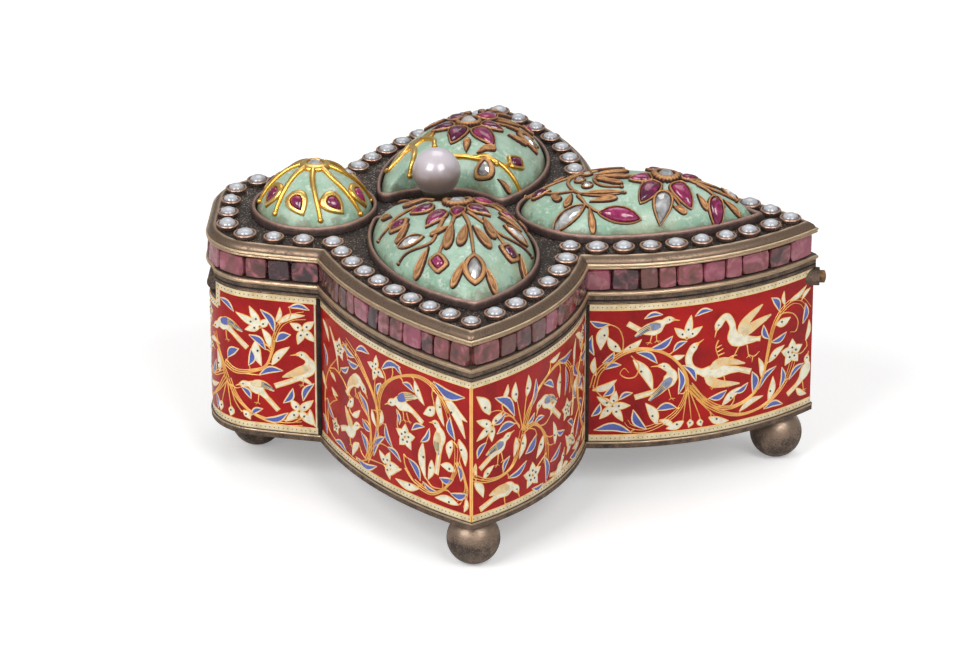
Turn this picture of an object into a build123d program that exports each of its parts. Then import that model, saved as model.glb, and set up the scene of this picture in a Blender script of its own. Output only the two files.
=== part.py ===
"""Jewelled paan box: a four-lobed enamelled casket on ball feet with a hinged, gem-set lid.

The plan is mirror-symmetric about the X axis: a blunt head lobe at -X, where the lid hinges,
a pointed wing lobe on each side, and a long pointed tail lobe at +X, where a push button
frees the lid. Lengths are in millimetres and angles in degrees. The origin is on the table,
under the middle of the box, with +Z up.
"""

from build123d import *
import os
from math import cos, radians, sin, sqrt

os.makedirs("parts", exist_ok=True)

# ---------------------------------------------------------------- plan outline
head_end = 63.25  # from the origin to the blunt end, and to the button's tip
head_flat = 6.5  # half width of the flat end
head_corner_r = 12.0
head_corner_deg = 78.0
head_valley_x = -39.4
tail_valley_x = 15.0
valley_y = 20.8
wing_tip_x = -6.4
wing_tip_y = 58.5
wing_head_bulge = 3.9  # rise of the arc from the head valley to the wing tip
wing_tail_bulge = 4.6
tail_tip_x = 61.1

# ---------------------------------------------------------------- body
foot_r = 5.4
foot_sole = 0.15  # worn off the ball where it stands
foot_seat = 0.15  # flattened off the ball where it is soldered under the base
foot_inset = 7.3  # ball centre to the tip of its lobe
head_foot_inset = 8.7  # and to the blunt end
base_t = 1.0
wall_inset = 0.9
wall_t = 1.4
wall_h = 31.4
enamel_inset = 0.3
enamel_groove = 0.4  # bare metal line under the enamel
rim_t = 0.85
lip_inset = 2.7
lip_t = 0.7
lip_h = 1.2

# ---------------------------------------------------------------- lid
lid_gap = 0.15  # between the body's rim and the lid when shut
band_rim_h = 1.9
gem_h = 4.8
strip_h = 1.0
band_t = 2.2
gem_depth = 1.3
gem_stand = 0.3  # gem faces back from the edge of the band
gem_joint = 0.3
head_gem_count = 13
wing_head_gem_count = 13
wing_tail_gem_count = 9
tail_gem_count = 10
liner_t = 0.8
liner_rise = 2.6  # underside of the liner above the lid's lower edge
plate_t = 1.5
border_edge = 0.2  # foot of the border, back from the edge of the band
border_w = 1.7
border_steps = 4

# ---------------------------------------------------------------- domes and pearls
bezel_t = 1.0
bezel_h = 1.8
dome_fit = 0.05  # between a dome and its bezel
dome_sections = 7
dome_flat = 2.2  # one flat of a dome's foot
dome_corner_flats = 3  # fewest on a tight stretch
dome_last_deg = 84.0  # round the dome to its small flat top
head_dome_h = 10.2
head_dome_x = -41.8
head_dome_r = 13.0
tail_dome_x = -0.7  # rounded end of the drop
tail_dome_wide_x = 17.2
tail_dome_margin = 1.15  # widest part of the drop to the pearls beside it
tail_dome_nose_r = 11.0
tail_dome_nose_deg = 40.0
tail_dome_tip_x = 50.2
tail_dome_top_x = 27.0
tail_dome_h = 9.1
wing_dome_tip = (-6.2, -47.2)
wing_dome_top = (-10.6, -21.0)
wing_dome_h = 10.4
notch_head = (-28.5, -2.5)
notch_tail = (-4.0, -3.0)
notch_x = -16.2
notch_r = 15.4  # the notch is part of a circle that takes in both cusps
notch_cusp_lap = 0.12  # how far it reaches past the nearer cusp
wing_dome_head_bulge = 9.8
wing_dome_tail_bulge = 10.7
notch_corner_r = 2.2
border_pearl_r = 1.85
border_pearl_h = 1.7
border_pearl_flats = 8
border_pearl_girth_h = 1.0
border_pearl_girth_deg = 24
border_pearl_crown_deg = 60
pearl_inset = 4.0
head_pearl_count = 11
wing_head_pearl_count = 9
wing_tail_pearl_count = 7
tail_pearl_count = 9
centre_pearl_r = 4.95
ball_bands = 8  # of flats from pole to pole of a ball
ball_sides = 16
centre_pearl_x = -16.7
cup_base_r = 4.4
cup_waist_r = 2.1
cup_lip_r = 3.7
cup_h = 6.0
cup_base_h = 0.9
cup_waist_h = 2.6
peg_r = 0.6
peg_h = 4.5
peg_root = 2.0

# ---------------------------------------------------------------- hinge
knuckle_r = 1.5
pin_r = 0.55
pin_clearance = 0.05
hinge_below_lid = 1.8  # hinge axis under the lid's lower edge
hinge_half = 12.4
knuckles = 5
knuckle_gap = 0.15
leaf_t = 0.7
leaf_gap = 0.3
web_t = 1.1
notch_margin = 0.4  # end of the barrel to the side of its notch
notch_below_axis = 3.5

# ---------------------------------------------------------------- push button
button_z = 40.8
button_r = 1.3
button_end_r = 2.6  # crown of the button's domed end
button_travel = 1.2
button_reach = 0.15  # nose of the fully pressed button to the catch
slide_clearance = 0.05
bush_r = 1.9
bush_wall = 0.4
bush_proud = 0.8
bush_throat = 2.9
bush_back_gap = 0.8  # inner end of the bush to the face of the catch
neck_r = 0.75
neck_clearance = 0.1
collar_t = 0.8
collar_gap = 0.1
spring_wire_r = 0.2
spring_turns = 3.5
spring_gap = 0.05
seat_t = 0.5
catch_inset = 7.9  # face of the catch to the tail tip
catch_w = 5.0
catch_t = 0.6
catch_foot = 3.0
catch_below = 1.5  # catch below the button's axis
tooth_reach = 0.3
tooth_h = 0.7
tooth_gap = 0.2

# ---------------------------------------------------------------- derived levels
base_z = 2 * foot_r - foot_sole - foot_seat
floor_z = base_z + base_t
rim_z = floor_z + wall_h
lid_z = rim_z + rim_t + lid_gap
gem_z = lid_z + band_rim_h
strip_z = gem_z + gem_h
border_z = strip_z + strip_h
plate_z = border_z + plate_t
liner_z = lid_z + liner_rise
lip_inner = lip_inset + lip_t
hinge_x = -head_end + knuckle_r + leaf_gap
hinge_z = lid_z - hinge_below_lid
notch_back_x = hinge_x + knuckle_r + leaf_gap + leaf_t
notch_floor_z = hinge_z - notch_below_axis
notch_half = hinge_half + notch_margin
tail_dome_half = valley_y - pearl_inset - border_pearl_r - tail_dome_margin
cusp_reach = sqrt((notch_r - notch_cusp_lap) ** 2 - (notch_tail[0] - notch_x) ** 2)
notch_y = notch_tail[1] + cusp_reach
gem_counts = {"head": head_gem_count, "wing_head": wing_head_gem_count,
              "wing_tail": wing_tail_gem_count, "tail": tail_gem_count}
pearl_counts = {"head": head_pearl_count, "wing_head": wing_head_pearl_count,
                "wing_tail": wing_tail_pearl_count, "tail": tail_pearl_count}
bush_end_x = tail_tip_x + bush_proud
catch_x = tail_tip_x - catch_inset
bush_back_x = catch_x + bush_back_gap
web_x = catch_x + tooth_reach + tooth_gap
at_head_valley = Plane.YZ.offset(head_valley_x)
at_tail_valley = Plane.YZ.offset(tail_valley_x)
lobes = ("head", "front", "tail", "back")


# ---------------------------------------------------------------- outlines
def outline(inset=0.0):
    """The lobed plan of the box, drawn in from its outer edge by an inset."""
    with BuildSketch() as plan:
        with BuildLine():
            end = Line((-head_end, 0), (-head_end, -head_flat))
            corner = JernArc(end @ 1, end % 1, head_corner_r, head_corner_deg)
            flank = TangentArc(corner @ 1, (head_valley_x, -valley_y), tangent=corner % 1)
            wing_head = SagittaArc(flank @ 1, (wing_tip_x, -wing_tip_y), -wing_head_bulge)
            wing_tail = SagittaArc(wing_head @ 1, (tail_valley_x, -valley_y), -wing_tail_bulge)
            TangentArc(wing_tail @ 1, (tail_tip_x, 0), tangent=(1, 0))
            mirror(about=Plane.XZ)
        make_face()
        if inset:
            offset(amount=-inset, kind=Kind.INTERSECTION)
    return plan.sketch


def ring(outer_inset, inner_inset, height):
    """A band of the plan between two insets, at a height."""
    with BuildSketch(Plane.XY.offset(height)) as plan:
        add(outline(outer_inset))
        add(outline(inner_inset), mode=Mode.SUBTRACT)
    return plan.sketch


def sheet(inset, height):
    """The whole plan at an inset and a height."""
    with BuildSketch(Plane.XY.offset(height)) as plan:
        add(outline(inset))
    return plan.sketch


def keep_lobe(lobe):
    """Cut the part being built down to one lobe, along the planes through the valleys."""
    if lobe == "head":
        split(bisect_by=at_head_valley, keep=Keep.BOTTOM)
    elif lobe == "tail":
        split(bisect_by=at_tail_valley, keep=Keep.TOP)
    else:
        split(bisect_by=at_head_valley, keep=Keep.TOP)
        split(bisect_by=at_tail_valley, keep=Keep.BOTTOM)
        split(bisect_by=Plane.XZ, keep=Keep.TOP if lobe == "front" else Keep.BOTTOM)


def cut_hinge_notch(bottom, top):
    """Open the head end of the part being built, where the hinge barrel lies."""
    length = notch_back_x + head_end + leaf_gap
    with Locations((notch_back_x, 0, bottom)):
        Box(length, 2 * notch_half, top - bottom, mode=Mode.SUBTRACT,
            align=(Align.MAX, Align.CENTER, Align.MIN))


def head_dome_plan(inset=0.0):
    """The round rim of the head dome."""
    with BuildSketch() as plan:
        with Locations((head_dome_x, 0)):
            Circle(head_dome_r - inset)
    return plan.sketch


def tail_dome_plan(inset=0.0):
    """The drop-shaped rim of the tail dome."""
    with BuildSketch() as plan:
        with BuildLine():
            nose = JernArc((tail_dome_x, 0), (0, -1), tail_dome_nose_r, tail_dome_nose_deg)
            wide = (tail_dome_wide_x, -tail_dome_half)
            shoulder = TangentArc(nose @ 1, wide, tangent=nose % 1)
            TangentArc(shoulder @ 1, (tail_dome_tip_x, 0), tangent=shoulder % 1)
            mirror(about=Plane.XZ)
        make_face()
        if inset:
            offset(amount=-inset, kind=Kind.INTERSECTION)
    return plan.sketch


def wing_dome_plan(inset=0.0):
    """The leaf-shaped rim of the front wing's dome, notched round the centre pearl."""
    with BuildSketch() as plan:
        with BuildLine():
            SagittaArc(wing_dome_tip, notch_tail, -wing_dome_tail_bulge)
            Line(notch_tail, notch_head)
            SagittaArc(notch_head, wing_dome_tip, -wing_dome_head_bulge)
        make_face()
        if inset:
            offset(amount=-inset, kind=Kind.INTERSECTION)
        with Locations((notch_x, notch_y)):
            Circle(notch_r + inset, mode=Mode.SUBTRACT)
        cusps = plan.vertices().sort_by(Axis.Y)[-2:]
        fillet(cusps, radius=notch_corner_r - inset)
    return plan.sketch


def flat_corners(plan):
    """Corners of a plan redrawn in short flats, in order round it."""
    corners = []
    for edge in plan.wires()[0].order_edges():
        flats = max(dome_corner_flats, round(edge.length / dome_flat))
        corners += [edge @ (i / flats) for i in range(flats)]
    return corners


def faceted(levels):
    """A solid of flat facets between polygons that lie above each other, each a list of corners."""
    facets = [Face(Wire.make_polygon(levels[0])), Face(Wire.make_polygon(levels[-1]))]
    for low, high in zip(levels, levels[1:]):
        for i in range(len(low)):
            facets.append(Face(Wire.make_polygon([low[i - 1], low[i], high[i], high[i - 1]])))
    return Solid(Shell(facets))


def ball(radius):
    """A ball drawn in bands of flats about the Z axis, its centre at the origin."""
    levels = []
    for i in range(ball_bands + 1):
        rise = radians(180 * (i + 0.5) / (ball_bands + 1) - 90)
        around = [radians(360 * j / ball_sides) for j in range(ball_sides)]
        levels.append([Vector(cos(turn) * cos(rise), sin(turn) * cos(rise), sin(rise)) * radius
                       for turn in around])
    return faceted(levels)


# ---------------------------------------------------------------- body
foot_spots = [
    (-head_end + head_foot_inset, 0),
    (wing_tip_x, -wing_tip_y + foot_inset),
    (tail_tip_x - foot_inset, 0),
    (wing_tip_x, wing_tip_y - foot_inset),
]

with BuildPart() as base_plate:
    extrude(sheet(0, base_z), amount=base_t)
base_plate.part.label = "base_plate"
export_step(base_plate.part, "parts/base_plate.step")

# Ball feet, soldered under the tips of the lobes.
foot_ball = ball(foot_r)
with BuildPart() as ball_feet:
    with Locations([(x, y, foot_r - foot_sole) for x, y in foot_spots]):
        add(foot_ball)
    split(bisect_by=Plane.XY, keep=Keep.TOP)
    split(bisect_by=Plane.XY.offset(base_z), keep=Keep.BOTTOM)
ball_feet.part.label = "ball_feet"
export_step(ball_feet.part, "parts/ball_feet.step")

tail_bore = Plane((bush_end_x, 0, button_z), x_dir=(0, 1, 0), z_dir=(-1, 0, 0))

for lobe in lobes:
    with BuildPart() as wall:
        extrude(ring(wall_inset, wall_inset + wall_t, floor_z), amount=wall_h)
        keep_lobe(lobe)
        if lobe == "head":
            cut_hinge_notch(notch_floor_z, rim_z)
        if lobe == "tail":
            with BuildSketch(tail_bore):
                Circle(bush_r)
            extrude(amount=bush_end_x - bush_back_x, mode=Mode.SUBTRACT)
    wall.part.label = "wall_" + lobe
    export_step(wall.part, f"parts/wall_{lobe}.step")

    with BuildPart() as enamel:
        enamel_z = floor_z + enamel_groove
        extrude(ring(enamel_inset, wall_inset, enamel_z), amount=rim_z - enamel_z)
        keep_lobe(lobe)
        if lobe == "head":
            cut_hinge_notch(notch_floor_z, rim_z)
        if lobe == "tail":
            with BuildSketch(tail_bore):
                Circle(bush_r)
            extrude(amount=bush_end_x - bush_back_x, mode=Mode.SUBTRACT)
    enamel.part.label = "enamel_" + lobe
    export_step(enamel.part, f"parts/enamel_{lobe}.step")

# The rim caps wall and enamel, carries the lip that guides the lid, and is webbed across
# the tail tip so that the catch's tooth has something to go under.
with BuildPart() as body_rim:
    extrude(sheet(0, rim_z), amount=rim_t)
    with BuildSketch(Plane.XY.offset(rim_z)):
        add(outline(lip_inner))
        with Locations((web_x, 0)):
            Rectangle(catch_inset, 2 * valley_y, mode=Mode.SUBTRACT,
                      align=(Align.MIN, Align.CENTER))
    extrude(amount=rim_t, mode=Mode.SUBTRACT)
    extrude(ring(lip_inset, lip_inner, rim_z + rim_t), amount=lip_h)
    cut_hinge_notch(rim_z, rim_z + rim_t + lip_h)
body_rim.part.label = "body_rim"
export_step(body_rim.part, "parts/body_rim.step")

# ---------------------------------------------------------------- hinge
knuckle_pitch = 2 * hinge_half / knuckles
knuckle_l = knuckle_pitch - knuckle_gap
knuckle_spots = [-hinge_half + (i + 0.5) * knuckle_pitch for i in range(knuckles)]


def leaf_plan(height):
    """The part of the plan that the hinge notch opens, at a height."""
    with BuildSketch(Plane.XY.offset(height)) as plan:
        add(outline(enamel_inset))
        with Locations((notch_back_x, 0)):
            Rectangle(2 * head_end, 2 * notch_half, mode=Mode.INTERSECT,
                      align=(Align.MAX, Align.CENTER))
    return plan.sketch


def barrel(spots, bore_r):
    """Knuckles about the hinge axis, at their places along it."""
    for spot in spots:
        with BuildSketch(Plane((hinge_x, spot - knuckle_l / 2, hinge_z), z_dir=(0, 1, 0))) as end:
            Circle(knuckle_r)
        extrude(end.sketch, amount=knuckle_l)
    with BuildSketch(Plane((hinge_x, -hinge_half, hinge_z), z_dir=(0, 1, 0))) as bore:
        Circle(bore_r)
    extrude(bore.sketch, amount=2 * hinge_half, mode=Mode.SUBTRACT)


body_knuckles = knuckle_spots[0::2]
lid_knuckles = knuckle_spots[1::2]

# The fixed leaf lines the notch: a shelf, a back plate and the odd knuckles.
with BuildPart() as hinge_leaf_body:
    extrude(leaf_plan(notch_floor_z), amount=leaf_t)
    with Locations((notch_back_x, 0, notch_floor_z)):
        Box(leaf_t, 2 * notch_half, rim_z + rim_t - notch_floor_z,
            align=(Align.MAX, Align.CENTER, Align.MIN))
    with Locations([(hinge_x, spot, hinge_z) for spot in body_knuckles]):
        Box(knuckle_r + leaf_gap + leaf_t / 2, knuckle_l, web_t,
            align=(Align.MIN, Align.CENTER, Align.CENTER))
    barrel(body_knuckles, pin_r)
hinge_leaf_body.part.label = "hinge_leaf_body"
export_step(hinge_leaf_body.part, "parts/hinge_leaf_body.step")

# The moving leaf lies under the head gems and hangs from the even knuckles.
with BuildPart() as hinge_leaf_lid:
    extrude(leaf_plan(gem_z - leaf_t), amount=leaf_t)
    with Locations([(hinge_x, spot, hinge_z) for spot in lid_knuckles]):
        Box(web_t, knuckle_l, gem_z - leaf_t / 2 - hinge_z,
            align=(Align.CENTER, Align.CENTER, Align.MIN))
    barrel(lid_knuckles, pin_r + pin_clearance)
hinge_leaf_lid.part.label = "hinge_leaf_lid"
export_step(hinge_leaf_lid.part, "parts/hinge_leaf_lid.step")

with BuildPart() as hinge_pin:
    with BuildSketch(Plane((hinge_x, -hinge_half, hinge_z), z_dir=(0, 1, 0))):
        Circle(pin_r)
    extrude(amount=2 * hinge_half)
hinge_pin.part.label = "hinge_pin"
export_step(hinge_pin.part, "parts/hinge_pin.step")

# ---------------------------------------------------------------- push button and latch
button_axis = Axis((0, 0, button_z), (1, 0, 0))
counterbore_r = bush_r - bush_wall
collar_r = counterbore_r - slide_clearance
throat_x = bush_end_x - bush_throat
collar_x = throat_x - collar_gap
nose_x = catch_x + button_travel + button_reach

with BuildPart() as button_bush:
    with BuildSketch(tail_bore):
        Circle(bush_r)
        Circle(button_r + slide_clearance, mode=Mode.SUBTRACT)
    extrude(amount=bush_end_x - bush_back_x)
    with BuildSketch(tail_bore.offset(bush_throat)):
        Circle(counterbore_r)
    extrude(amount=throat_x - bush_back_x, mode=Mode.SUBTRACT)
button_bush.part.label = "button_bush"
export_step(button_bush.part, "parts/button_bush.step")

# A turned plunger: domed head, collar that stops it in the bush, and slim neck.
with BuildPart() as push_button:
    with BuildSketch(Plane((0, 0, button_z), x_dir=(1, 0, 0), z_dir=(0, -1, 0))):
        with BuildLine():
            crown_x = head_end - button_end_r + sqrt(button_end_r**2 - button_r**2)
            dome = RadiusArc((crown_x, button_r), (head_end, 0), button_end_r)
            Polyline(dome @ 1, (nose_x, 0), (nose_x, neck_r), (collar_x - collar_t, neck_r),
                     (collar_x - collar_t, collar_r), (collar_x, collar_r),
                     (collar_x, button_r), dome @ 0)
        make_face()
    revolve(axis=button_axis)
push_button.part.label = "push_button"
export_step(push_button.part, "parts/push_button.step")

with BuildPart() as spring_seat:
    with BuildSketch(Plane((bush_back_x, 0, button_z), z_dir=(1, 0, 0))):
        Circle(counterbore_r)
        Circle(neck_r + neck_clearance, mode=Mode.SUBTRACT)
    extrude(amount=seat_t)
spring_seat.part.label = "spring_seat"
export_step(spring_seat.part, "parts/spring_seat.step")

spring_start_x = bush_back_x + seat_t + spring_gap + spring_wire_r
spring_end_x = collar_x - collar_t - spring_gap - spring_wire_r
with BuildPart() as latch_spring:
    with BuildLine() as coil_line:
        coil = Helix((spring_end_x - spring_start_x) / spring_turns, spring_end_x - spring_start_x,
                     (neck_r + counterbore_r) / 2, center=(spring_start_x, 0, button_z),
                     direction=(1, 0, 0))
    with BuildSketch(Plane(coil @ 0, x_dir=(1, 0, 0), z_dir=coil % 0)):
        Rectangle(2 * spring_wire_r, 2 * spring_wire_r)
    sweep(path=coil_line.line, is_frenet=True)
latch_spring.part.label = "latch_spring"
export_step(latch_spring.part, "parts/latch_spring.step")

# A springy tongue under the lid, with a tooth that lies below the rim's web.
with BuildPart() as lid_catch:
    catch_bottom = button_z - catch_below
    with Locations((catch_x, 0, catch_bottom)):
        Box(catch_t, catch_w, liner_z - catch_bottom, align=(Align.MAX, Align.CENTER, Align.MIN))
    with Locations((catch_x, 0, liner_z)):
        Box(catch_foot, catch_w, catch_t, align=(Align.MAX, Align.CENTER, Align.MAX))
    with BuildSketch(Plane.XZ.offset(-catch_w / 2)):
        tooth_top = rim_z - tooth_gap
        with BuildLine():
            Polyline((catch_x, tooth_top), (catch_x + tooth_reach, tooth_top),
                     (catch_x, tooth_top - tooth_h), close=True)
        make_face()
    extrude(amount=catch_w)
lid_catch.part.label = "lid_catch"
export_step(lid_catch.part, "parts/lid_catch.step")

# ---------------------------------------------------------------- lid
with BuildPart() as lid_band:
    extrude(ring(0, band_t, lid_z), amount=border_z - lid_z)
    extrude(ring(0, gem_depth, gem_z), amount=gem_h, mode=Mode.SUBTRACT)
    cut_hinge_notch(lid_z, gem_z)
lid_band.part.label = "lid_band"
export_step(lid_band.part, "parts/lid_band.step")

with BuildPart() as lid_liner:
    extrude(sheet(band_t, liner_z), amount=liner_t)
lid_liner.part.label = "lid_liner"
export_step(lid_liner.part, "parts/lid_liner.step")

# The top plate, whose edge is a hollow moulding that rises to the line of pearls.
with BuildPart() as lid_plate:
    for step in range(border_steps):
        turn = radians(90 * step / (border_steps - 1))
        inset = border_edge + (border_w - border_edge) * step / (border_steps - 1)
        with BuildSketch(Plane.XY.offset(border_z + plate_t * (1 - cos(turn)))):
            add(outline(inset))
    loft(ruled=True)
lid_plate.part.label = "lid_plate"
export_step(lid_plate.part, "parts/lid_plate.step")


# ---------------------------------------------------------------- gems in the band
def runs(inset, height, counts):
    """The outline's runs at an inset, each with its count: the head, wing sides and tail sides."""
    edges = sheet(inset, height).edges()
    found = [(Wire([e for e in edges if (e @ 0.5).X < head_valley_x]), counts["head"])]
    for edge in edges:
        middle = edge @ 0.5
        if abs(middle.Y) > valley_y:
            side = "wing_head" if middle.X < wing_tip_x else "wing_tail"
            found.append((edge, counts[side]))
        elif middle.X > tail_valley_x:
            found.append((edge, counts["tail"]))
    return found


saw_l = 4 * gem_depth  # reaches right through the row of gems
saw_w = 2 * gem_h
gem_joints = [
    run ^ (i / count)
    for run, count in runs((gem_stand + gem_depth) / 2, gem_z + gem_h / 2, gem_counts)
    for i in range(1, count)
]
tips = [(wing_tip_x, -wing_tip_y), (wing_tip_x, wing_tip_y)]

for lobe in lobes:
    with BuildPart() as gems:
        extrude(ring(gem_stand, gem_depth, gem_z), amount=gem_h)
        keep_lobe(lobe)
        with Locations(gem_joints):
            Box(saw_l, saw_w, gem_joint, mode=Mode.SUBTRACT)
        with Locations([(x, y, gem_z + gem_h / 2) for x, y in tips]):
            Box(gem_joint, 2 * saw_l, saw_w, mode=Mode.SUBTRACT)
        with Locations((tail_tip_x, 0, gem_z + gem_h / 2)):
            Box(2 * saw_l, gem_joint, saw_w, mode=Mode.SUBTRACT)
    gems.part.label = "gems_" + lobe
    export_step(gems.part, f"parts/gems_{lobe}.step")

# ---------------------------------------------------------------- domes in their bezels
def dome_stone(plan, top, height):
    """A stone over a plan, its levels shrinking towards the top like an ellipse."""
    foot, peak = flat_corners(plan), Vector(*top)
    levels = []
    for step in range(dome_sections):
        turn = radians(dome_last_deg * step / (dome_sections - 1))
        rise = Vector(0, 0, plate_z + height * sin(turn))
        levels.append([peak + (corner - peak) * cos(turn) + rise for corner in foot])
    return faceted(levels)


domes = {
    "head": (head_dome_plan, (head_dome_x, 0), head_dome_h),
    "front": (wing_dome_plan, wing_dome_top, wing_dome_h),
    "tail": (tail_dome_plan, (tail_dome_top_x, 0), tail_dome_h),
    "back": (wing_dome_plan, wing_dome_top, wing_dome_h),
}

# One raised collar round the foot of each dome, soldered to the plate.
with BuildPart() as dome_bezels:
    for lobe, (plan, top, height) in domes.items():
        with BuildSketch(Plane.XY.offset(plate_z)) as collar:
            add(plan())
            add(plan(bezel_t), mode=Mode.SUBTRACT)
            if lobe == "back":
                mirror(about=Plane.XZ, mode=Mode.REPLACE)
        extrude(amount=bezel_h)
dome_bezels.part.label = "dome_bezels"
export_step(dome_bezels.part, "parts/dome_bezels.step")

for lobe, (plan, top, height) in domes.items():
    with BuildPart() as dome:
        add(dome_stone(plan(bezel_t + dome_fit), top, height))
        if lobe == "back":
            mirror(about=Plane.XZ, mode=Mode.REPLACE)
    dome.part.label = "dome_" + lobe
    export_step(dome.part, f"parts/dome_{lobe}.step")

# ---------------------------------------------------------------- pearls
# A pearl stands at every valley and tip of the line, and the rest are even between them.
pearl_line = sheet(pearl_inset, plate_z)
pearl_spots = [
    run @ (i / count)
    for run, count in runs(pearl_inset, plate_z, pearl_counts)
    for i in range(1, count)
]
pearl_corners = pearl_line.vertices().filter_by_position(Axis.X, head_valley_x, tail_tip_x)
pearl_spots += [Vector(corner) for corner in pearl_corners]

# Each half pearl has a few flats, which keeps a row of sixty light.
with BuildPart() as half_pearl:
    with BuildSketch():
        RegularPolygon(border_pearl_r, border_pearl_flats)
    extrude(amount=border_pearl_girth_h, taper=border_pearl_girth_deg)
    girth_top = half_pearl.faces().sort_by(Axis.Z)[-1]
    extrude(girth_top, amount=border_pearl_h - border_pearl_girth_h, taper=border_pearl_crown_deg)

with BuildPart() as border_pearls:
    with Locations(pearl_spots):
        add(half_pearl.part)
border_pearls.part.label = "border_pearls"
export_step(border_pearls.part, "parts/border_pearls.step")

# The centre pearl sits in a turned cup, cemented on a peg.
cup_axis = Axis((centre_pearl_x, 0, 0), (0, 0, 1))
pearl_z = plate_z + cup_h + sqrt(centre_pearl_r**2 - cup_lip_r**2)
pearl_ball = ball(centre_pearl_r)
with BuildPart() as pearl_cup:
    with BuildSketch(Plane((centre_pearl_x, 0, plate_z), x_dir=(1, 0, 0), z_dir=(0, -1, 0))):
        with BuildLine():
            foot = Polyline((0, 0), (cup_base_r, 0), (cup_base_r, cup_base_h))
            Polyline(foot @ 1, (cup_waist_r, cup_waist_h), (cup_lip_r, cup_h), (0, cup_h), foot @ 0)
        make_face()
    revolve(axis=cup_axis)
    with Locations((centre_pearl_x, 0, pearl_z)):
        add(pearl_ball, mode=Mode.SUBTRACT)
    with Locations((centre_pearl_x, 0, pearl_z - centre_pearl_r)):
        Cylinder(peg_r, 2 * peg_root, mode=Mode.SUBTRACT)
pearl_cup.part.label = "pearl_cup"
export_step(pearl_cup.part, "parts/pearl_cup.step")

peg_bottom = pearl_z - centre_pearl_r
with BuildPart() as pearl_peg:
    with Locations((centre_pearl_x, 0, peg_bottom - peg_root)):
        Cylinder(peg_r, peg_root + peg_h, align=(Align.CENTER, Align.CENTER, Align.MIN))
pearl_peg.part.label = "pearl_peg"
export_step(pearl_peg.part, "parts/pearl_peg.step")

with BuildPart() as centre_pearl:
    with Locations((centre_pearl_x, 0, pearl_z)):
        add(pearl_ball)
    with Locations((centre_pearl_x, 0, peg_bottom)):
        Cylinder(peg_r, peg_h, mode=Mode.SUBTRACT, align=(Align.CENTER, Align.CENTER, Align.MIN))
centre_pearl.part.label = "centre_pearl"
export_step(centre_pearl.part, "parts/centre_pearl.step")
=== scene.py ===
"""Jewelled paan box: the visual model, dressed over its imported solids.

A four-lobed casket stands on ball feet. Its walls are enamelled with birds and flowers in
gold scrolls on red. Its hinged lid carries a row of pink stones, a line of half pearls and
four jade domes inlaid with gold, rubies and diamonds round one grey pearl. Sizes in this
file are in millimetres until a mesh is made.
"""
import logging
import math
import random
from collections.abc import Iterable, Sequence
from dataclasses import dataclass, field
from enum import Enum

import bmesh
import bpy
import numpy as np
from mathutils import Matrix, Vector
from mathutils.bvhtree import BVHTree


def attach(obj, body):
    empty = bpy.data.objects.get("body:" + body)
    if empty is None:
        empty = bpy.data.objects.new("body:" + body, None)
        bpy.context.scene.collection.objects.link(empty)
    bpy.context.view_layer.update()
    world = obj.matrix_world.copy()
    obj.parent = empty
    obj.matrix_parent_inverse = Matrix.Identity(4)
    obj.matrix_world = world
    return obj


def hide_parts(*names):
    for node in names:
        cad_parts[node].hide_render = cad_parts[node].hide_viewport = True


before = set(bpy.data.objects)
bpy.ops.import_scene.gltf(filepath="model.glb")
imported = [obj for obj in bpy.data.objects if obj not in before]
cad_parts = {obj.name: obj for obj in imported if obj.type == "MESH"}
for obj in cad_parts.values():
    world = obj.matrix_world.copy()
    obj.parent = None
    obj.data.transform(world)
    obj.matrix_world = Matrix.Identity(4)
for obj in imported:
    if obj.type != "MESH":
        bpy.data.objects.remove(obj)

log = logging.getLogger("paan_box")
MM = 0.001
UP = Vector((0, 0, 1))
MIRROR = np.array((1, -1))
PLATE_Z = 53.1  # top of the lid's plate
NOTCH_X = -50.0  # the hinge notch lies beyond this, at the head end
NOTCH_HALF = 12.8  # half its length
NOTCH_FLOOR = 38.6  # height of its floor
HALF_WORN = 0.5

Point = tuple[float, float]
Path = Sequence[Point]
Triple = tuple[float, float, float]
Colour = Triple
Profile = list[Triple]
Faces = list[tuple[int, ...]]
Material = bpy.types.Material
Object = bpy.types.Object
Socket = bpy.types.NodeSocket


# ------------------------------------------------------------------ plan geometry
def turned(angle: float, near: float = 0.0) -> float:
    """The same angle, within half a turn of another."""
    return near + (angle - near + math.pi) % (2 * math.pi) - math.pi


def lengths_along(points: np.ndarray) -> np.ndarray:
    """Length from the first point of a line to each of its points."""
    return np.concatenate([[0.0], np.cumsum(np.linalg.norm(np.diff(points, axis=0), axis=1))])


def along_line(length: float, steps: np.ndarray, line: np.ndarray) -> tuple[float, ...]:
    """The point at a length along a line, whose lengths are given by steps."""
    return tuple(float(np.interp(length, steps, line[:, k])) for k in (0, 1))


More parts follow.
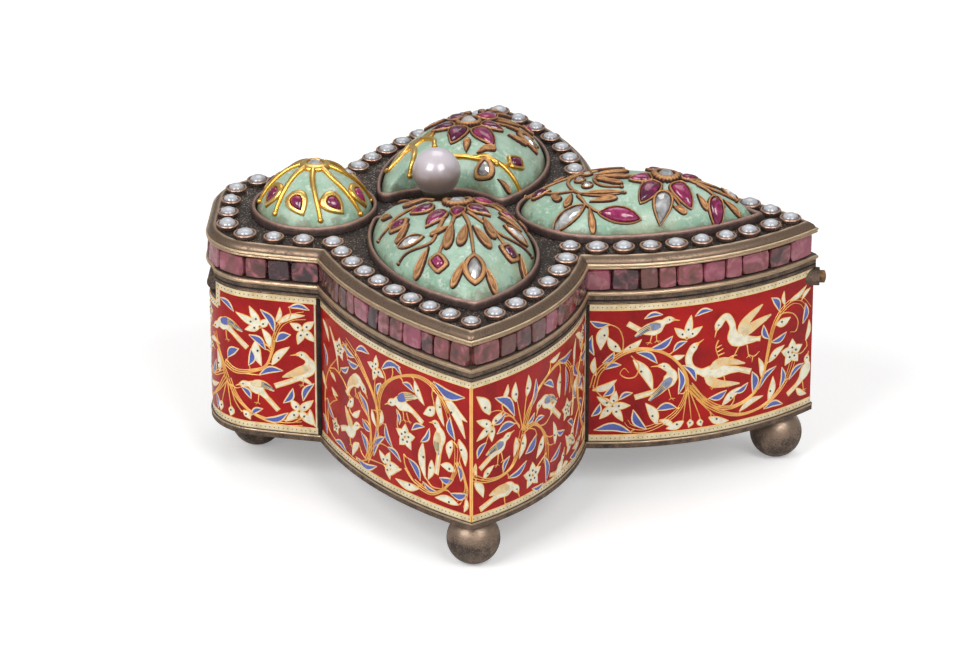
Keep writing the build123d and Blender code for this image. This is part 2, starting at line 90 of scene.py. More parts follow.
@dataclass(frozen=True)
class Arc:
    """One arc of a plan, walked anticlockwise with the inside on its left.

    Attributes:
        centre: Centre of the arc.
        radius: Radius; a straight run is an arc of a very large one.
        start: Angle at the start, in radians.
        end: Angle at the end, in radians, above the start.
    """

    centre: Point
    radius: float
    start: float
    end: float

    def at(self, turn: float, inset: float = 0.0) -> Point:
        """The point at an angle, drawn in by an inset."""
        reach = self.radius - inset
        return self.centre[0] + reach * math.cos(turn), self.centre[1] + reach * math.sin(turn)

    def length(self) -> float:
        """Length along the arc."""
        return self.radius * (self.end - self.start)

    @staticmethod
    def between(centre: Point, radius: float, first: Point, last: Point) -> "Arc":
        """An arc about a centre from one point anticlockwise to another.

        Args:
            centre: Its centre.
            radius: Its radius.
            first: Where it starts.
            last: Where it ends.

        Returns:
            The arc.
        """
        start = math.atan2(first[1] - centre[1], first[0] - centre[0])
        end = math.atan2(last[1] - centre[1], last[0] - centre[0])
        while end < start:
            end += 2 * math.pi
        return Arc(centre, radius, start, end)

    @staticmethod
    def bulged(first: Point, last: Point, rise: float) -> "Arc":
        """An arc on a chord.

        Args:
            first: Start of the chord.
            last: End of the chord.
            rise: Height of the arc outside the chord.

        Returns:
            The arc.
        """
        span = math.dist(first, last)
        out = ((last[1] - first[1]) / span, (first[0] - last[0]) / span)
        radius = (span * span / 4 + rise * rise) / (2 * rise)
        sunk = radius - rise
        centre = ((first[0] + last[0]) / 2 - out[0] * sunk, (first[1] + last[1]) / 2 - out[1] * sunk)
        return Arc.between(centre, radius, first, last)

    @staticmethod
    def leaving(first: Point, heading: float, last: Point) -> "Arc":
        """An arc that leaves a point on a heading.

        Args:
            first: Where it starts.
            heading: Its direction there, in radians.
            last: Where it ends.

        Returns:
            The arc.
        """
        left = (-math.sin(heading), math.cos(heading))
        step = (last[0] - first[0], last[1] - first[1])
        radius = (step[0] ** 2 + step[1] ** 2) / (2 * (step[0] * left[0] + step[1] * left[1]))
        centre = (first[0] + left[0] * radius, first[1] + left[1] * radius)
        return Arc.between(centre, radius, first, last)


def crossing(one: Point, one_r: float, two: Point, two_r: float, near: Point) -> Point:
    """Where two circles cross, on the side nearer to a point.

    Args:
        one: Centre of the first circle.
        one_r: Its radius.
        two: Centre of the second circle.
        two_r: Its radius.
        near: The point that picks one of the two crossings.

    Returns:
        The crossing point.
    """
    span = math.dist(one, two)
    along = (span * span + one_r * one_r - two_r * two_r) / (2 * span)
    across = math.sqrt(max(0.0, one_r * one_r - along * along))
    ux, uy = (two[0] - one[0]) / span, (two[1] - one[1]) / span
    foot = (one[0] + ux * along, one[1] + uy * along)
    found = [(foot[0] - uy * away, foot[1] + ux * away) for away in (across, -across)]
    return min(found, key=lambda spot: math.dist(spot, near))


@dataclass(frozen=True)
class Chain:
    """A closed plan made of arcs on its front half, mirrored about the X axis.

    Attributes:
        arcs: Arcs of the front half, from the head to the tail.
        pace: Wanted length between samples.
    """

    arcs: tuple[Arc, ...]
    pace: float = 0.9

    def spans(self, inset: float) -> list[list[float]]:
        """Where the arcs meet when the plan is drawn in.

        Args:
            inset: How far it is drawn in.

        Returns:
            Start and end angle of each arc.
        """
        cuts = [[arc.start, arc.end] for arc in self.arcs]
        smooth_bend = 0.01
        for i, (one, two) in enumerate(zip(self.arcs, self.arcs[1:])):
            if abs(turned(two.start - one.end)) <= smooth_bend:
                continue
            corner = one.at(one.end)
            point = crossing(one.centre, one.radius - inset, two.centre, two.radius - inset, corner)
            cuts[i][1] = Arc.between(one.centre, one.radius, one.at(one.start), point).end
            turn = math.atan2(point[1] - two.centre[1], point[0] - two.centre[0])
            cuts[i + 1][0] = turned(turn, two.start)
        tail = self.arcs[-1]
        tip = -math.asin(max(-1.0, min(1.0, tail.centre[1] / (tail.radius - inset))))
        cuts[-1][1] = turned(tip, tail.end)
        return cuts

    def counts(self) -> list[int]:
        """Samples on each arc, the same at every inset."""
        return [max(2, round(arc.length() / self.pace)) for arc in self.arcs]

    def half(self, inset: float = 0.0) -> np.ndarray:
        """Samples along the front half, from the head to the tail tip.

        Args:
            inset: How far the plan is drawn in.

        Returns:
            The samples, both ends included.
        """
        points: list[Point] = []
        spans = self.spans(inset)
        for arc, (start, end), count in zip(self.arcs, spans, self.counts()):
            points += [arc.at(start + (end - start) * i / count, inset) for i in range(count)]
        points.append(self.arcs[-1].at(spans[-1][1], inset))
        return np.array(points)

    def loop(self, inset: float = 0.0) -> np.ndarray:
        """Samples all the way round, anticlockwise from the head."""
        front = self.half(inset)
        return np.vstack([front, front[-2:0:-1] * MIRROR])


@dataclass(frozen=True)
class BoxPlan:
    """The plan of the box.

    Attributes:
        head_end: Blunt end from the origin.
        head_flat: Half width of the flat end.
        corner_r: Radius of the head's corners.
        corner_turn: Turn of those corners, in degrees.
        head_valley: Valley between head and wing.
        tail_valley: Valley between wing and tail.
        wing_tip: Tip of the front wing.
        wing_head_bulge: Rise of the wing's arc on the head's side.
        wing_tail_bulge: Rise of the wing's arc on the tail's side.
        tail_tip: Tip of the tail lobe.
    """

    head_end: float = 63.25
    head_flat: float = 6.5
    corner_r: float = 12.0
    corner_turn: float = 78.0
    head_valley: Point = (-39.4, -20.8)
    tail_valley: Point = (15.0, -20.8)
    wing_tip: Point = (-6.4, -58.5)
    wing_head_bulge: float = 3.9
    wing_tail_bulge: float = 4.6
    tail_tip: Point = (61.1, 0.0)

    def chain(self) -> Chain:
        """The plan as arcs.

        Returns:
            The chain of the front half: flat end, corner, flank, the wing's two sides, tail.
        """
        far = 1e5
        end = Arc((far - self.head_end, 0), far, math.pi, math.pi + self.head_flat / far)
        turn = math.radians(self.corner_turn)
        middle = (self.corner_r - self.head_end, -self.head_flat)
        corner = Arc(middle, self.corner_r, math.pi, math.pi + turn)
        flank = Arc.leaving(corner.at(corner.end), turn - math.pi / 2, self.head_valley)
        wing_head = Arc.bulged(self.head_valley, self.wing_tip, self.wing_head_bulge)
        wing_tail = Arc.bulged(self.wing_tip, self.tail_valley, self.wing_tail_bulge)
        tail = Arc.leaving(self.tail_valley, 0.0, self.tail_tip)
        return Chain((end, corner, flank, wing_head, wing_tail, tail))


class Run(Enum):
    """A stretch of wall between two corners of the plan: its first arc and the one after its last."""

    HEAD = (0, 3)
    WING_HEAD = (3, 4)
    WING_TAIL = (4, 5)
    TAIL = (5, 6)


class Walk:
    """A walk along one run of the wall, by length from its start.

    Attributes:
        points: Samples along it.
        lengths: Length from its start to each sample.
        side: 1 on the front half, -1 on the mirrored one.
    """

    REACH = 0.4

    def __init__(self, chain: Chain, run: Run, inset: float, back: bool = False) -> None:
        """Sample the run.

        Args:
            chain: Plan of the box.
            run: The run.
            inset: How far it is drawn in.
            back: Take the mirrored side.
        """
        fine = Chain(chain.arcs, chain.pace / 3)
        counts, (first, last) = fine.counts(), run.value
        half = fine.half(inset)[sum(counts[:first]):sum(counts[:last]) + 1]
        self.points = half * MIRROR if back else half
        self.lengths = lengths_along(self.points)
        self.side = -1.0 if back else 1.0

    @property
    def length(self) -> float:
        """Length of the run."""
        return float(self.lengths[-1])

    def normal(self, along: float) -> Point:
        """The outward direction at a length along the run.

        Args:
            along: The length.

        Returns:
            A unit direction.
        """
        x0, y0 = along_line(max(0.0, along - self.REACH), self.lengths, self.points)
        x1, y1 = along_line(min(self.length, along + self.REACH), self.lengths, self.points)
        size = math.hypot(x1 - x0, y1 - y0)
        return self.side * (y1 - y0) / size, -self.side * (x1 - x0) / size


# ------------------------------------------------------------------ mesh tools
def linked(name: str, data: bpy.types.ID) -> Object:
    """Put data into the scene as an object.

    Args:
        name: Name of the object.
        data: Its mesh, curve, lamp or camera.

    Returns:
        The object.
    """
    holder = bpy.data.objects.new(name, data)
    bpy.context.scene.collection.objects.link(holder)
    return holder


def shaded(name: str, mesh: bpy.types.Mesh, crease: float) -> Object:
    """Put a mesh into the scene, smooth but for its sharp edges.

    Args:
        name: Name of the object.
        mesh: The mesh.
        crease: Angle above which an edge stays sharp, in degrees.

    Returns:
        The object.
    """
    mesh.shade_smooth()
    mesh.set_sharp_from_angle(angle=math.radians(crease))
    return linked(name, mesh)


def seat(piece: Object, body: str, slot: str, replaces: Sequence[str] = ()) -> None:
    """Let a piece ride on a body and report it.

    Args:
        piece: The piece.
        body: The body it moves with.
        slot: Its material slot; not used.
        replaces: The nodes that it stands for.
    """
    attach(piece, body)
    if replaces:
        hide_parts(*replaces)
    log.info("%s: %d faces on %s", piece.name, len(piece.data.polygons), body)


def dress(material: Material, *nodes: str) -> None:
    """Give carried-over nodes their material.

    Args:
        material: The material.
        nodes: Names of the nodes.
    """
    for node in nodes:
        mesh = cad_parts[node].data
        mesh.materials.clear()
        mesh.materials.append(material)
        log.info("%s: dressed in %s", node, material.name)


class Shell:
    """Points and faces that are gathered for one mesh.

    Attributes:
        points: The points.
        faces: Point numbers of each face.
        wear: How worn each point is, from 0 in a recess to 1 on a crest.
        marks: Material number of each face, where there is more than one material.
    """

    def __init__(self) -> None:
        """Start with nothing gathered."""
        self.points: list[Triple] = []
        self.faces: Faces = []
        self.wear: list[float] = []
        self.marks: list[int] = []

    def add(self, points: Iterable[Sequence[float]], faces: Faces, wear: Sequence[float] = ()) -> None:
        """Gather points and faces.

        Args:
            points: The points.
            faces: Point numbers of each face, counted from the first of these points.
            wear: How worn each point is; half worn where none is given.
        """
        base = len(self.points)
        self.points += [tuple(map(float, p)) for p in points]
        self.faces += [tuple(base + i for i in face) for face in faces]
        self.wear += list(wear) or [HALF_WORN] * (len(self.points) - base)

    def rings(self, loops: Sequence[np.ndarray], closed: bool = False,
              wear: Sequence[float] | None = None) -> None:
        """Gather a skin over loops of equal length.

        Args:
            loops: Loops of points, one row a point.
            closed: Join the last loop to the first, in place of a cap on each.
            wear: How worn each loop is.
        """
        count, total = len(loops[0]), len(loops)
        faces: Faces = []
        for i in range(total if closed else total - 1):
            a, b = i * count, (i + 1) % total * count
            for j in range(count):
                k = (j + 1) % count
                faces.append((a + j, a + k, b + k, b + j))
        if not closed:
            faces.append(tuple(range(count - 1, -1, -1)))
            faces.append(tuple(range((total - 1) * count, total * count)))
        levels = [HALF_WORN] * total if wear is None else wear
        self.add(np.vstack(loops), faces, [worn for worn in levels for _ in range(count)])

    def swept(self, plan: Chain, profile: Profile, closed: bool = False) -> None:
        """Gather a moulding that follows a plan.

        Args:
            plan: The plan.
            profile: Inset, height and wear along its section.
            closed: The section closes on itself.
        """
        loops = [level(plan.loop(inset), z) for inset, z, _ in profile]
        self.rings(loops, closed, [worn for *_, worn in profile])

    def strand(self, path: Sequence[Vector], radius: float, sides: int, up: Vector = UP,
               wear: float = HALF_WORN) -> None:
        """Gather a round bar along a path, closed at its ends.

        Args:
            path: Points of its middle line.
            radius: Its radius.
            sides: Sides of its section.
            up: Direction of the section's top.
            wear: How worn its top is.
        """
        loops, worn = [], []
        turns = [2 * math.pi * k / sides for k in range(sides)]
        for i, here in enumerate(path):
            ahead = (path[min(i + 1, len(path) - 1)] - path[max(i - 1, 0)]).normalized()
            side = ahead.cross(up).normalized()
            rise = side.cross(ahead).normalized()
            loops.append(np.array([here + side * (math.cos(t) * radius) + rise * (math.sin(t) * radius)
                                   for t in turns]))
            worn += [wear * max(0.0, math.sin(t)) for t in turns]
        base = len(self.points)
        self.rings(loops)
        self.wear[base:] = worn

    def piece(self, name: str, finishes: Sequence[Material], crease: float = 40.0,
              outward: bool = True) -> Object:
        """Make the gathered shell an object.

        Args:
            name: Name of the piece.
            finishes: Its materials.
            crease: Angle above which an edge stays sharp, in degrees.
            outward: Turn the faces of closed shells outwards.

        Returns:
            The piece.
        """
        mesh = bpy.data.meshes.new(name)
        mesh.from_pydata((np.array(self.points) * MM).tolist(), [], self.faces)
        for material in finishes:
            mesh.materials.append(material)
        if self.marks:
            mesh.polygons.foreach_set("material_index", self.marks)
        layer = mesh.attributes.new("wear", "FLOAT", "POINT")
        layer.data.foreach_set("value", np.asarray(self.wear, np.float32))
        if outward:
            work = bmesh.new()
            work.from_mesh(mesh)
            bmesh.ops.recalc_face_normals(work, faces=work.faces)
            work.to_mesh(mesh)
            work.free()
        return shaded(name, mesh, crease)


def level(loop: np.ndarray, height: float) -> np.ndarray:
    """A flat loop at a height."""
    return np.column_stack([loop, np.full(len(loop), height)])


def round_bead(inset: float, height: float, radius: float, sides: int = 8) -> Profile:
    """Profile of a round wire that is bent round a plan.

    Args:
        inset: Its middle from the edge of the plan.
        height: Height of its middle.
        radius: Its radius.
        sides: Sides of its section.

    Returns:
        Inset, height and wear of each corner of the section.
    """
    turns = [2 * math.pi * i / sides for i in range(sides)]
    low, more = 0.35, 0.65
    return [(inset - radius * math.cos(t), height + radius * math.sin(t), low + more * max(0.0, math.sin(t)))
            for t in turns]


# ------------------------------------------------------------------ shader graphs
class Value:
    """A shader number: a socket or a constant, which may be used in expressions."""

    def __init__(self, graph: "Graph", source: object) -> None:
        """Wrap an output socket or a number for use in a graph."""
        self.graph, self.source = graph, source

    def _math(self, operation: str, *others: object) -> "Value":
        """A Math node on this value and others."""
        return self.graph.node("ShaderNodeMath", {"operation": operation}, dict(enumerate((self, *others))))

    def __add__(self, other: object) -> "Value":
        """Sum."""
        return self._math("ADD", other)

    def __radd__(self, other: object) -> "Value":
        """Sum, reflected."""
        return self._math("ADD", other)

    def __sub__(self, other: object) -> "Value":
        """Difference."""
        return self._math("SUBTRACT", other)

    def __rsub__(self, other: object) -> "Value":
        """Difference, reflected."""
        return Value(self.graph, other)._math("SUBTRACT", self)

    def __mul__(self, other: object) -> "Value":
        """Product."""
        return self._math("MULTIPLY", other)

    def between(self, low: float, high: float) -> "Value":
        """0 at low and 1 at high, smooth between them."""
        return self.graph.node("ShaderNodeMapRange", {"interpolation_type": "SMOOTHSTEP"},
                               {"Value": self, "From Min": low, "From Max": high})

    def wave(self) -> "Value":
        """Rise and fall between 0 and 1 as it grows."""
        return self._math("PINGPONG", 1.0)


class Graph:
    """The node graph of one material.

    Attributes:
        material: The material.
        tree: Its nodes.
        spot: Object coordinates.
    """

    def __init__(self, name: str) -> None:
        """Start a material.

        Args:
            name: Its name.
        """
        self.material = bpy.data.materials.new(name)
        self.material.use_nodes = True
        self.tree = self.material.node_tree
        self.tree.nodes.clear()
        self.spot = self.node("ShaderNodeTexCoord", {}, {}, "Object")

    def node(self, kind: str, settings: dict[str, object], inputs: dict[object, object],
             output: object = 0) -> Value:
        """Add a node.

        Args:
            kind: Blender's name of its type.
            settings: Its properties, set first.
            inputs: Values or links of its sockets, by name or number.
            output: The wanted output, by name or number.

        Returns:
            The wanted output.
        """
        made = self.tree.nodes.new(kind)
        for key, value in settings.items():
            setattr(made, key, value)
        for key, value in inputs.items():
            value = value.source if isinstance(value, Value) else value
            if isinstance(value, Socket):
                self.tree.links.new(value, made.inputs[key])
            elif isinstance(value, tuple) and made.inputs[key].type == "RGBA":
                made.inputs[key].default_value = (*value, 1.0)
            else:
                made.inputs[key].default_value = value
        return Value(self, made.outputs[output])

    def noise(self, size: float, detail: float = 3.0, rough: float = 0.55, lean: float = 0.0,
              spot: Value | None = None) -> Value:
        """Cloudy noise.

        Args:
            size: Width of its blotches, in millimetres.
            detail: How many finer layers it has.
            rough: How strong they are.
            lean: How far it is drawn out of shape.
            spot: Coordinates, if not those of the object.

        Returns:
            The noise, mostly between 0 and 1.
        """
        return self.node("ShaderNodeTexNoise", {}, {
            "Vector": spot or self.spot, "Scale": 1 / (size * MM), "Detail": detail, "Roughness": rough,
            "Distortion": lean})

    def cells(self, size: float) -> Value:
        """Distance to the nearest of scattered points, about a size apart."""
        scale = 1 / (size * MM)
        return self.node("ShaderNodeTexVoronoi", {}, {"Vector": self.spot, "Scale": scale}, "Distance")

    def stretched(self, x: float, y: float, z: float) -> Value:
        """Object coordinates, multiplied along each axis."""
        return self.node("ShaderNodeMapping", {}, {"Vector": self.spot, "Scale": (x, y, z)})

    def height(self) -> Value:
        """Height over the floor, in metres."""
        return self.node("ShaderNodeSeparateXYZ", {}, {0: self.spot}, 2)

    def attribute(self, name: str) -> Value:
        """A number that is stored on the mesh."""
        return self.node("ShaderNodeAttribute", {"attribute_name": name}, {}, "Fac")

    def mix(self, factor: object, low: object, high: object) -> Value:
        """A colour between two."""
        return self.node("ShaderNodeMix", {"data_type": "RGBA"}, {0: factor, 6: low, 7: high}, 2)

    def bump(self, height: object, depth: float, strength: float = 1.0) -> Value:
        """A normal from a height; depth, in millimetres, is its full relief."""
        inputs = {"Height": height, "Distance": depth * MM, "Strength": strength}
        return self.node("ShaderNodeBump", {}, inputs)

    def surface(self, colour: object, rough: object, **others: object) -> Material:
        """Finish the material with a Principled shader.

        Args:
            colour: Base colour.
            rough: Roughness.
            others: Other sockets, with _ for a space in their names.

        Returns:
            The material.
        """
        inputs = {key.replace("_", " "): value for key, value in others.items()}
        shader = self.node("ShaderNodeBsdfPrincipled", {}, {
            "Base Color": colour, "Roughness": rough, **inputs})
        made = self.tree.nodes.new("ShaderNodeOutputMaterial")
        self.tree.links.new(shader.source, made.inputs["Surface"])
        return self.material


# ------------------------------------------------------------------ finishes
@dataclass(frozen=True)
class WornMetal:
    """Silver gilt that has worn and darkened, with grime in its recesses.

    Attributes:
        name: Name of the material.
        body: Colour of the worn metal.
        bright: Colour where hands and cloths rub it, and, on pieces whose wear marks what faces up, painted
            top light.
        grime: Colour of the dirt in its recesses.
        dirt: How much of it is dirty, from 0 to 1.
        grain: Size of the mottling.
        rough: Roughness of clean metal.
        scratch: Depth of the scratches.
        metal: How metallic clean metal is.
    """

    name: str
    body: Colour
    bright: Colour
    grime: Colour
    dirt: float = 0.4
    grain: float = 2.2
    rough: float = 0.34
    scratch: float = 0.02
    metal: float = 0.9

    def material(self) -> Material:
        """Build the material.

        Returns:
            The material.
        """
        g = Graph(self.name)
        wear = g.attribute("wear")
        broad, fine = g.noise(self.grain * 2, 4.0), g.noise(self.grain / 5, 3.0, 0.65)
        dirty = (broad * 0.6 + fine * 0.55 - wear * 0.55 + (self.dirt - 0.5)).between(0.15, 0.55)
        # shine follows the wear; where the wear marks upward faces, it is painted top light
        shine = (wear * 0.9 + g.noise(self.grain, 3.0) * 0.5 - 0.45).between(0.1, 0.7)
        colour = g.mix(dirty, g.mix(shine, self.body, self.bright), self.grime)
        brushed = g.noise(0.5, 2.0, 0.6, spot=g.stretched(0.25, 0.25, 3.0))
        return g.surface(colour, self.rough + dirty * 0.38 + fine * 0.1, Metallic=self.metal - dirty * 0.55,
                         Normal=g.bump(brushed * 0.5 + fine * 0.5, self.scratch * 2))


@dataclass(frozen=True)
class Granulated:
    """A sooty silver ground, stippled with fine grains that catch the light.

    Attributes:
        name: Name of the material.
        soot: Colour of the dirt between the grains.
        body: Colour of the bare metal.
        grain_glint: Colour of a rubbed grain, painted pale as a glint where it catches the light.
        grain: Size of a grain.
    """

    name: str = "stippled_plate"
    soot: Colour = (0.030, 0.024, 0.021)
    body: Colour = (0.17, 0.128, 0.10)
    grain_glint: Colour = (0.56, 0.48, 0.42)
    grain: float = 0.5

    def material(self) -> Material:
        """Build the material.

        Returns:
            The material.
        """
        g = Graph(self.name)
        dots = 1 - g.cells(self.grain).between(0.1, 0.62)
        broad = g.noise(3.2, 4.0, 0.65)
        hair = g.noise(0.45, 2.0, 0.6, spot=g.stretched(0.25, 1.0, 1.0))
        bare = (broad * 0.9 + dots * 0.3 - 0.3).between(0.12, 0.5)
        colour = g.mix(bare, self.soot, self.body)
        # painted glints: the grains and hairlines are painted pale where they catch the light
        colour = g.mix((dots * broad * 1.3 + hair * 0.5 - 0.72).between(0.0, 0.22), colour, self.grain_glint)
        return g.surface(colour, 0.52 - bare * 0.16, Metallic=bare * 0.5 + 0.3,
                         Normal=g.bump(dots * 0.7 + hair * 0.3, 0.16))


@dataclass(frozen=True)
class RedEnamel:
    """Glossy translucent red enamel, a little uneven.

    Attributes:
        name: Name of the material.
        thin: Colour where it is thin.
        thick: Darker colour where it is thick.
    """

    name: str = "red_enamel"
    thin: Colour = (0.40, 0.009, 0.007)
    thick: Colour = (0.16, 0.003, 0.006)

    def material(self) -> Material:
        """Build the material.

        Returns:
            The material.
        """
        g = Graph(self.name)
        cloud, speck = g.noise(7.0, 4.0, 0.6), g.noise(0.5, 2.0)
        colour = g.mix((cloud * 0.8 + speck * 0.35 - 0.1).between(0.2, 0.85), self.thin, self.thick)
        return g.surface(colour, 0.22 + speck * 0.2, Specular_IOR_Level=0.14, Coat_Weight=0.1,
                         Coat_Roughness=0.1, Normal=g.bump(g.noise(4.0, 2.0), 0.1, 0.5))


@dataclass(frozen=True)
class Enamel:
    """An opaque enamel colour of the birds, flowers and leaves.

    Attributes:
        name: Name of the material.
        light: Lighter of its two tones.
        dark: Darker of them.
        size: Size of the tone's blotches.
    """

    name: str
    light: Colour
    dark: Colour
    size: float = 1.2

    def material(self) -> Material:
        """Build the material.

        Returns:
            The material.
        """
        g = Graph(self.name)
        tone = g.noise(self.size, 3.0, 0.6)
        colour = g.mix(tone.between(0.35, 0.7), self.light, self.dark)
        return g.surface(colour, 0.22 + tone * 0.12, Coat_Weight=0.4, Coat_Roughness=0.1,
                         Normal=g.bump(g.noise(0.8), 0.03, 0.4))


@dataclass(frozen=True)
class Jade:
    """Pale green stone, mottled under its polish and stained at its foot.

    Attributes:
        name: Name of the material.
        pale: Its main colour.
        green: Colour of its greener clouds.
        white: Colour of its white flecks.
        moss: Colour of its brownish patches.
        stain: Colour of pits and dirt.
        foot: Height of its foot.
    """

    name: str = "jade"
    pale: Colour = (0.44, 0.585, 0.475)
    green: Colour = (0.235, 0.41, 0.285)
    white: Colour = (0.70, 0.76, 0.68)
    moss: Colour = (0.37, 0.38, 0.23)
    stain: Colour = (0.17, 0.17, 0.11)
    foot: float = PLATE_Z

    def material(self) -> Material:
        """Build the material.

        Returns:
            The material.
        """
        g = Graph(self.name)
        cloud = g.noise(5.0, 5.0, 0.66, 0.25)
        grain = g.noise(1.3, 4.0, 0.7)
        patch = g.noise(13.0, 3.0)
        low = 1 - g.height().between((self.foot + 0.5) * MM, (self.foot + 6.0) * MM)
        depth = (cloud * 0.7 + grain * 0.4 + low * 0.12 - 0.1).between(0.3, 0.62)
        base = g.mix(depth, self.pale, self.green)
        base = g.mix((grain * 0.7 + cloud * 0.3 - 0.5).between(0.0, 0.14) * 0.7, base, self.white)
        base = g.mix((patch + low * 0.1).between(0.54, 0.74) * 0.55, base, self.moss)
        dirt = (low * 0.5 + g.noise(2.6, 4.0, 0.7) - 0.86).between(0.0, 0.12)
        colour = g.mix((1 - g.cells(1.9).between(0.03, 0.14)) * 0.35 + dirt * 0.6, base, self.stain)
        return g.surface(colour, 0.26 + grain * 0.2, Subsurface_Weight=0.1,
                         Subsurface_Radius=(1.0, 1.3, 1.0), Subsurface_Scale=0.0008, Coat_Weight=0.2,
                         Coat_Roughness=0.18, Normal=g.bump(cloud * 0.5 + grain * 0.5, 0.2, 0.5))


@dataclass(frozen=True)
class Pearl:
    """Nacre: grey white or lilac, soft and slightly uneven, painted paler at its top as painted top light
    and darker towards its foot as painted shade and reflection of the box.

    Attributes:
        name: Name of the material.
        top: Colour of its lighter clouds and of its top, painted paler as painted top light.
        shade: Colour of its darker clouds and of the painted shade and reflection towards its foot.
        size: Size of the clouds.
        rough: Roughness.
        foot: Height at which the painted shade is darkest.
        rise: Height over that at which the painted shade ends and it is palest.
    """

    name: str
    top: Colour
    shade: Colour
    size: float = 2.4
    rough: float = 0.2
    foot: float = 53.2
    rise: float = 1.6

    def material(self) -> Material:
        """Build the material.

        Returns:
            The material.
        """
        g = Graph(self.name)
        cloud = g.noise(self.size, 3.0, 0.5, 0.4)
        # painted shade and reflection: the nacre is darker towards its foot and paler at its top
        low = 1 - g.height().between(self.foot * MM, (self.foot + self.rise) * MM)
        colour = g.mix((cloud * 0.6 + low * 0.8).between(0.3, 0.95), self.top, self.shade)
        return g.surface(colour, self.rough + cloud * 0.1, Metallic=0.12, Coat_Weight=0.5,
                         Coat_Roughness=0.12, Sheen_Weight=0.25,
                         Normal=g.bump(g.noise(0.6, 2.0), 0.03, 0.25))


@dataclass(frozen=True)
class Stone:
    """A cut or polished stone over foil, clouded inside.

    Attributes:
        name: Name of the material.
        glow: Colour where the foil shines through.
        deep: Colour of its depths.
        pale: Colour of chips and clouds.
        size: Size of its clouds.
        rough: Roughness of the polish.
        cloudy: Share of the pale clouds.
        facets: Relief of the cut, in millimetres.
        foil: How much of a mirror the foil makes of it.
        warm: A second, browner colour.
        blush: Share of that colour.
        lustre: Index of refraction.
        low: Where its depths begin to glow.
        high: Where they glow most.
    """

    name: str
    glow: Colour
    deep: Colour
    pale: Colour
    size: float = 2.0
    rough: float = 0.12
    cloudy: float = 0.3
    facets: float = 0.12
    foil: float = 0.0
    warm: Colour = (0.3, 0.08, 0.06)
    blush: float = 0.0
    lustre: float = 1.7
    low: float = 0.15
    high: float = 0.8

    def material(self) -> Material:
        """Build the material.

        Returns:
            The material.
        """
        g = Graph(self.name)
        own = g.attribute("wear")
        inner = g.noise(self.size, 2.0, 0.5, 0.8)
        cut = g.cells(self.size * 0.8)
        base = g.mix((own * 0.6 + inner * 0.9 - 0.28).between(self.low, self.high), self.deep, self.glow)
        base = g.mix((own * 3.7 + inner * 2.0).wave() * self.blush, base, self.warm)
        colour = g.mix((inner + own * 0.1).between(0.56, 0.82) * self.cloudy, base, self.pale)
        return g.surface(colour, self.rough + inner * 0.15, IOR=self.lustre, Coat_Weight=0.35,
                         Coat_Roughness=0.06, Metallic=self.foil,
                         Normal=g.bump(cut * 0.7 + inner * 0.3, self.facets * 2, 0.5))


Finish = WornMetal | Granulated | RedEnamel | Enamel | Jade | Pearl | Stone


def made(finish: Finish) -> Material:
    """A field of the palette, whose material is built with the palette."""
    return field(default_factory=finish.material)


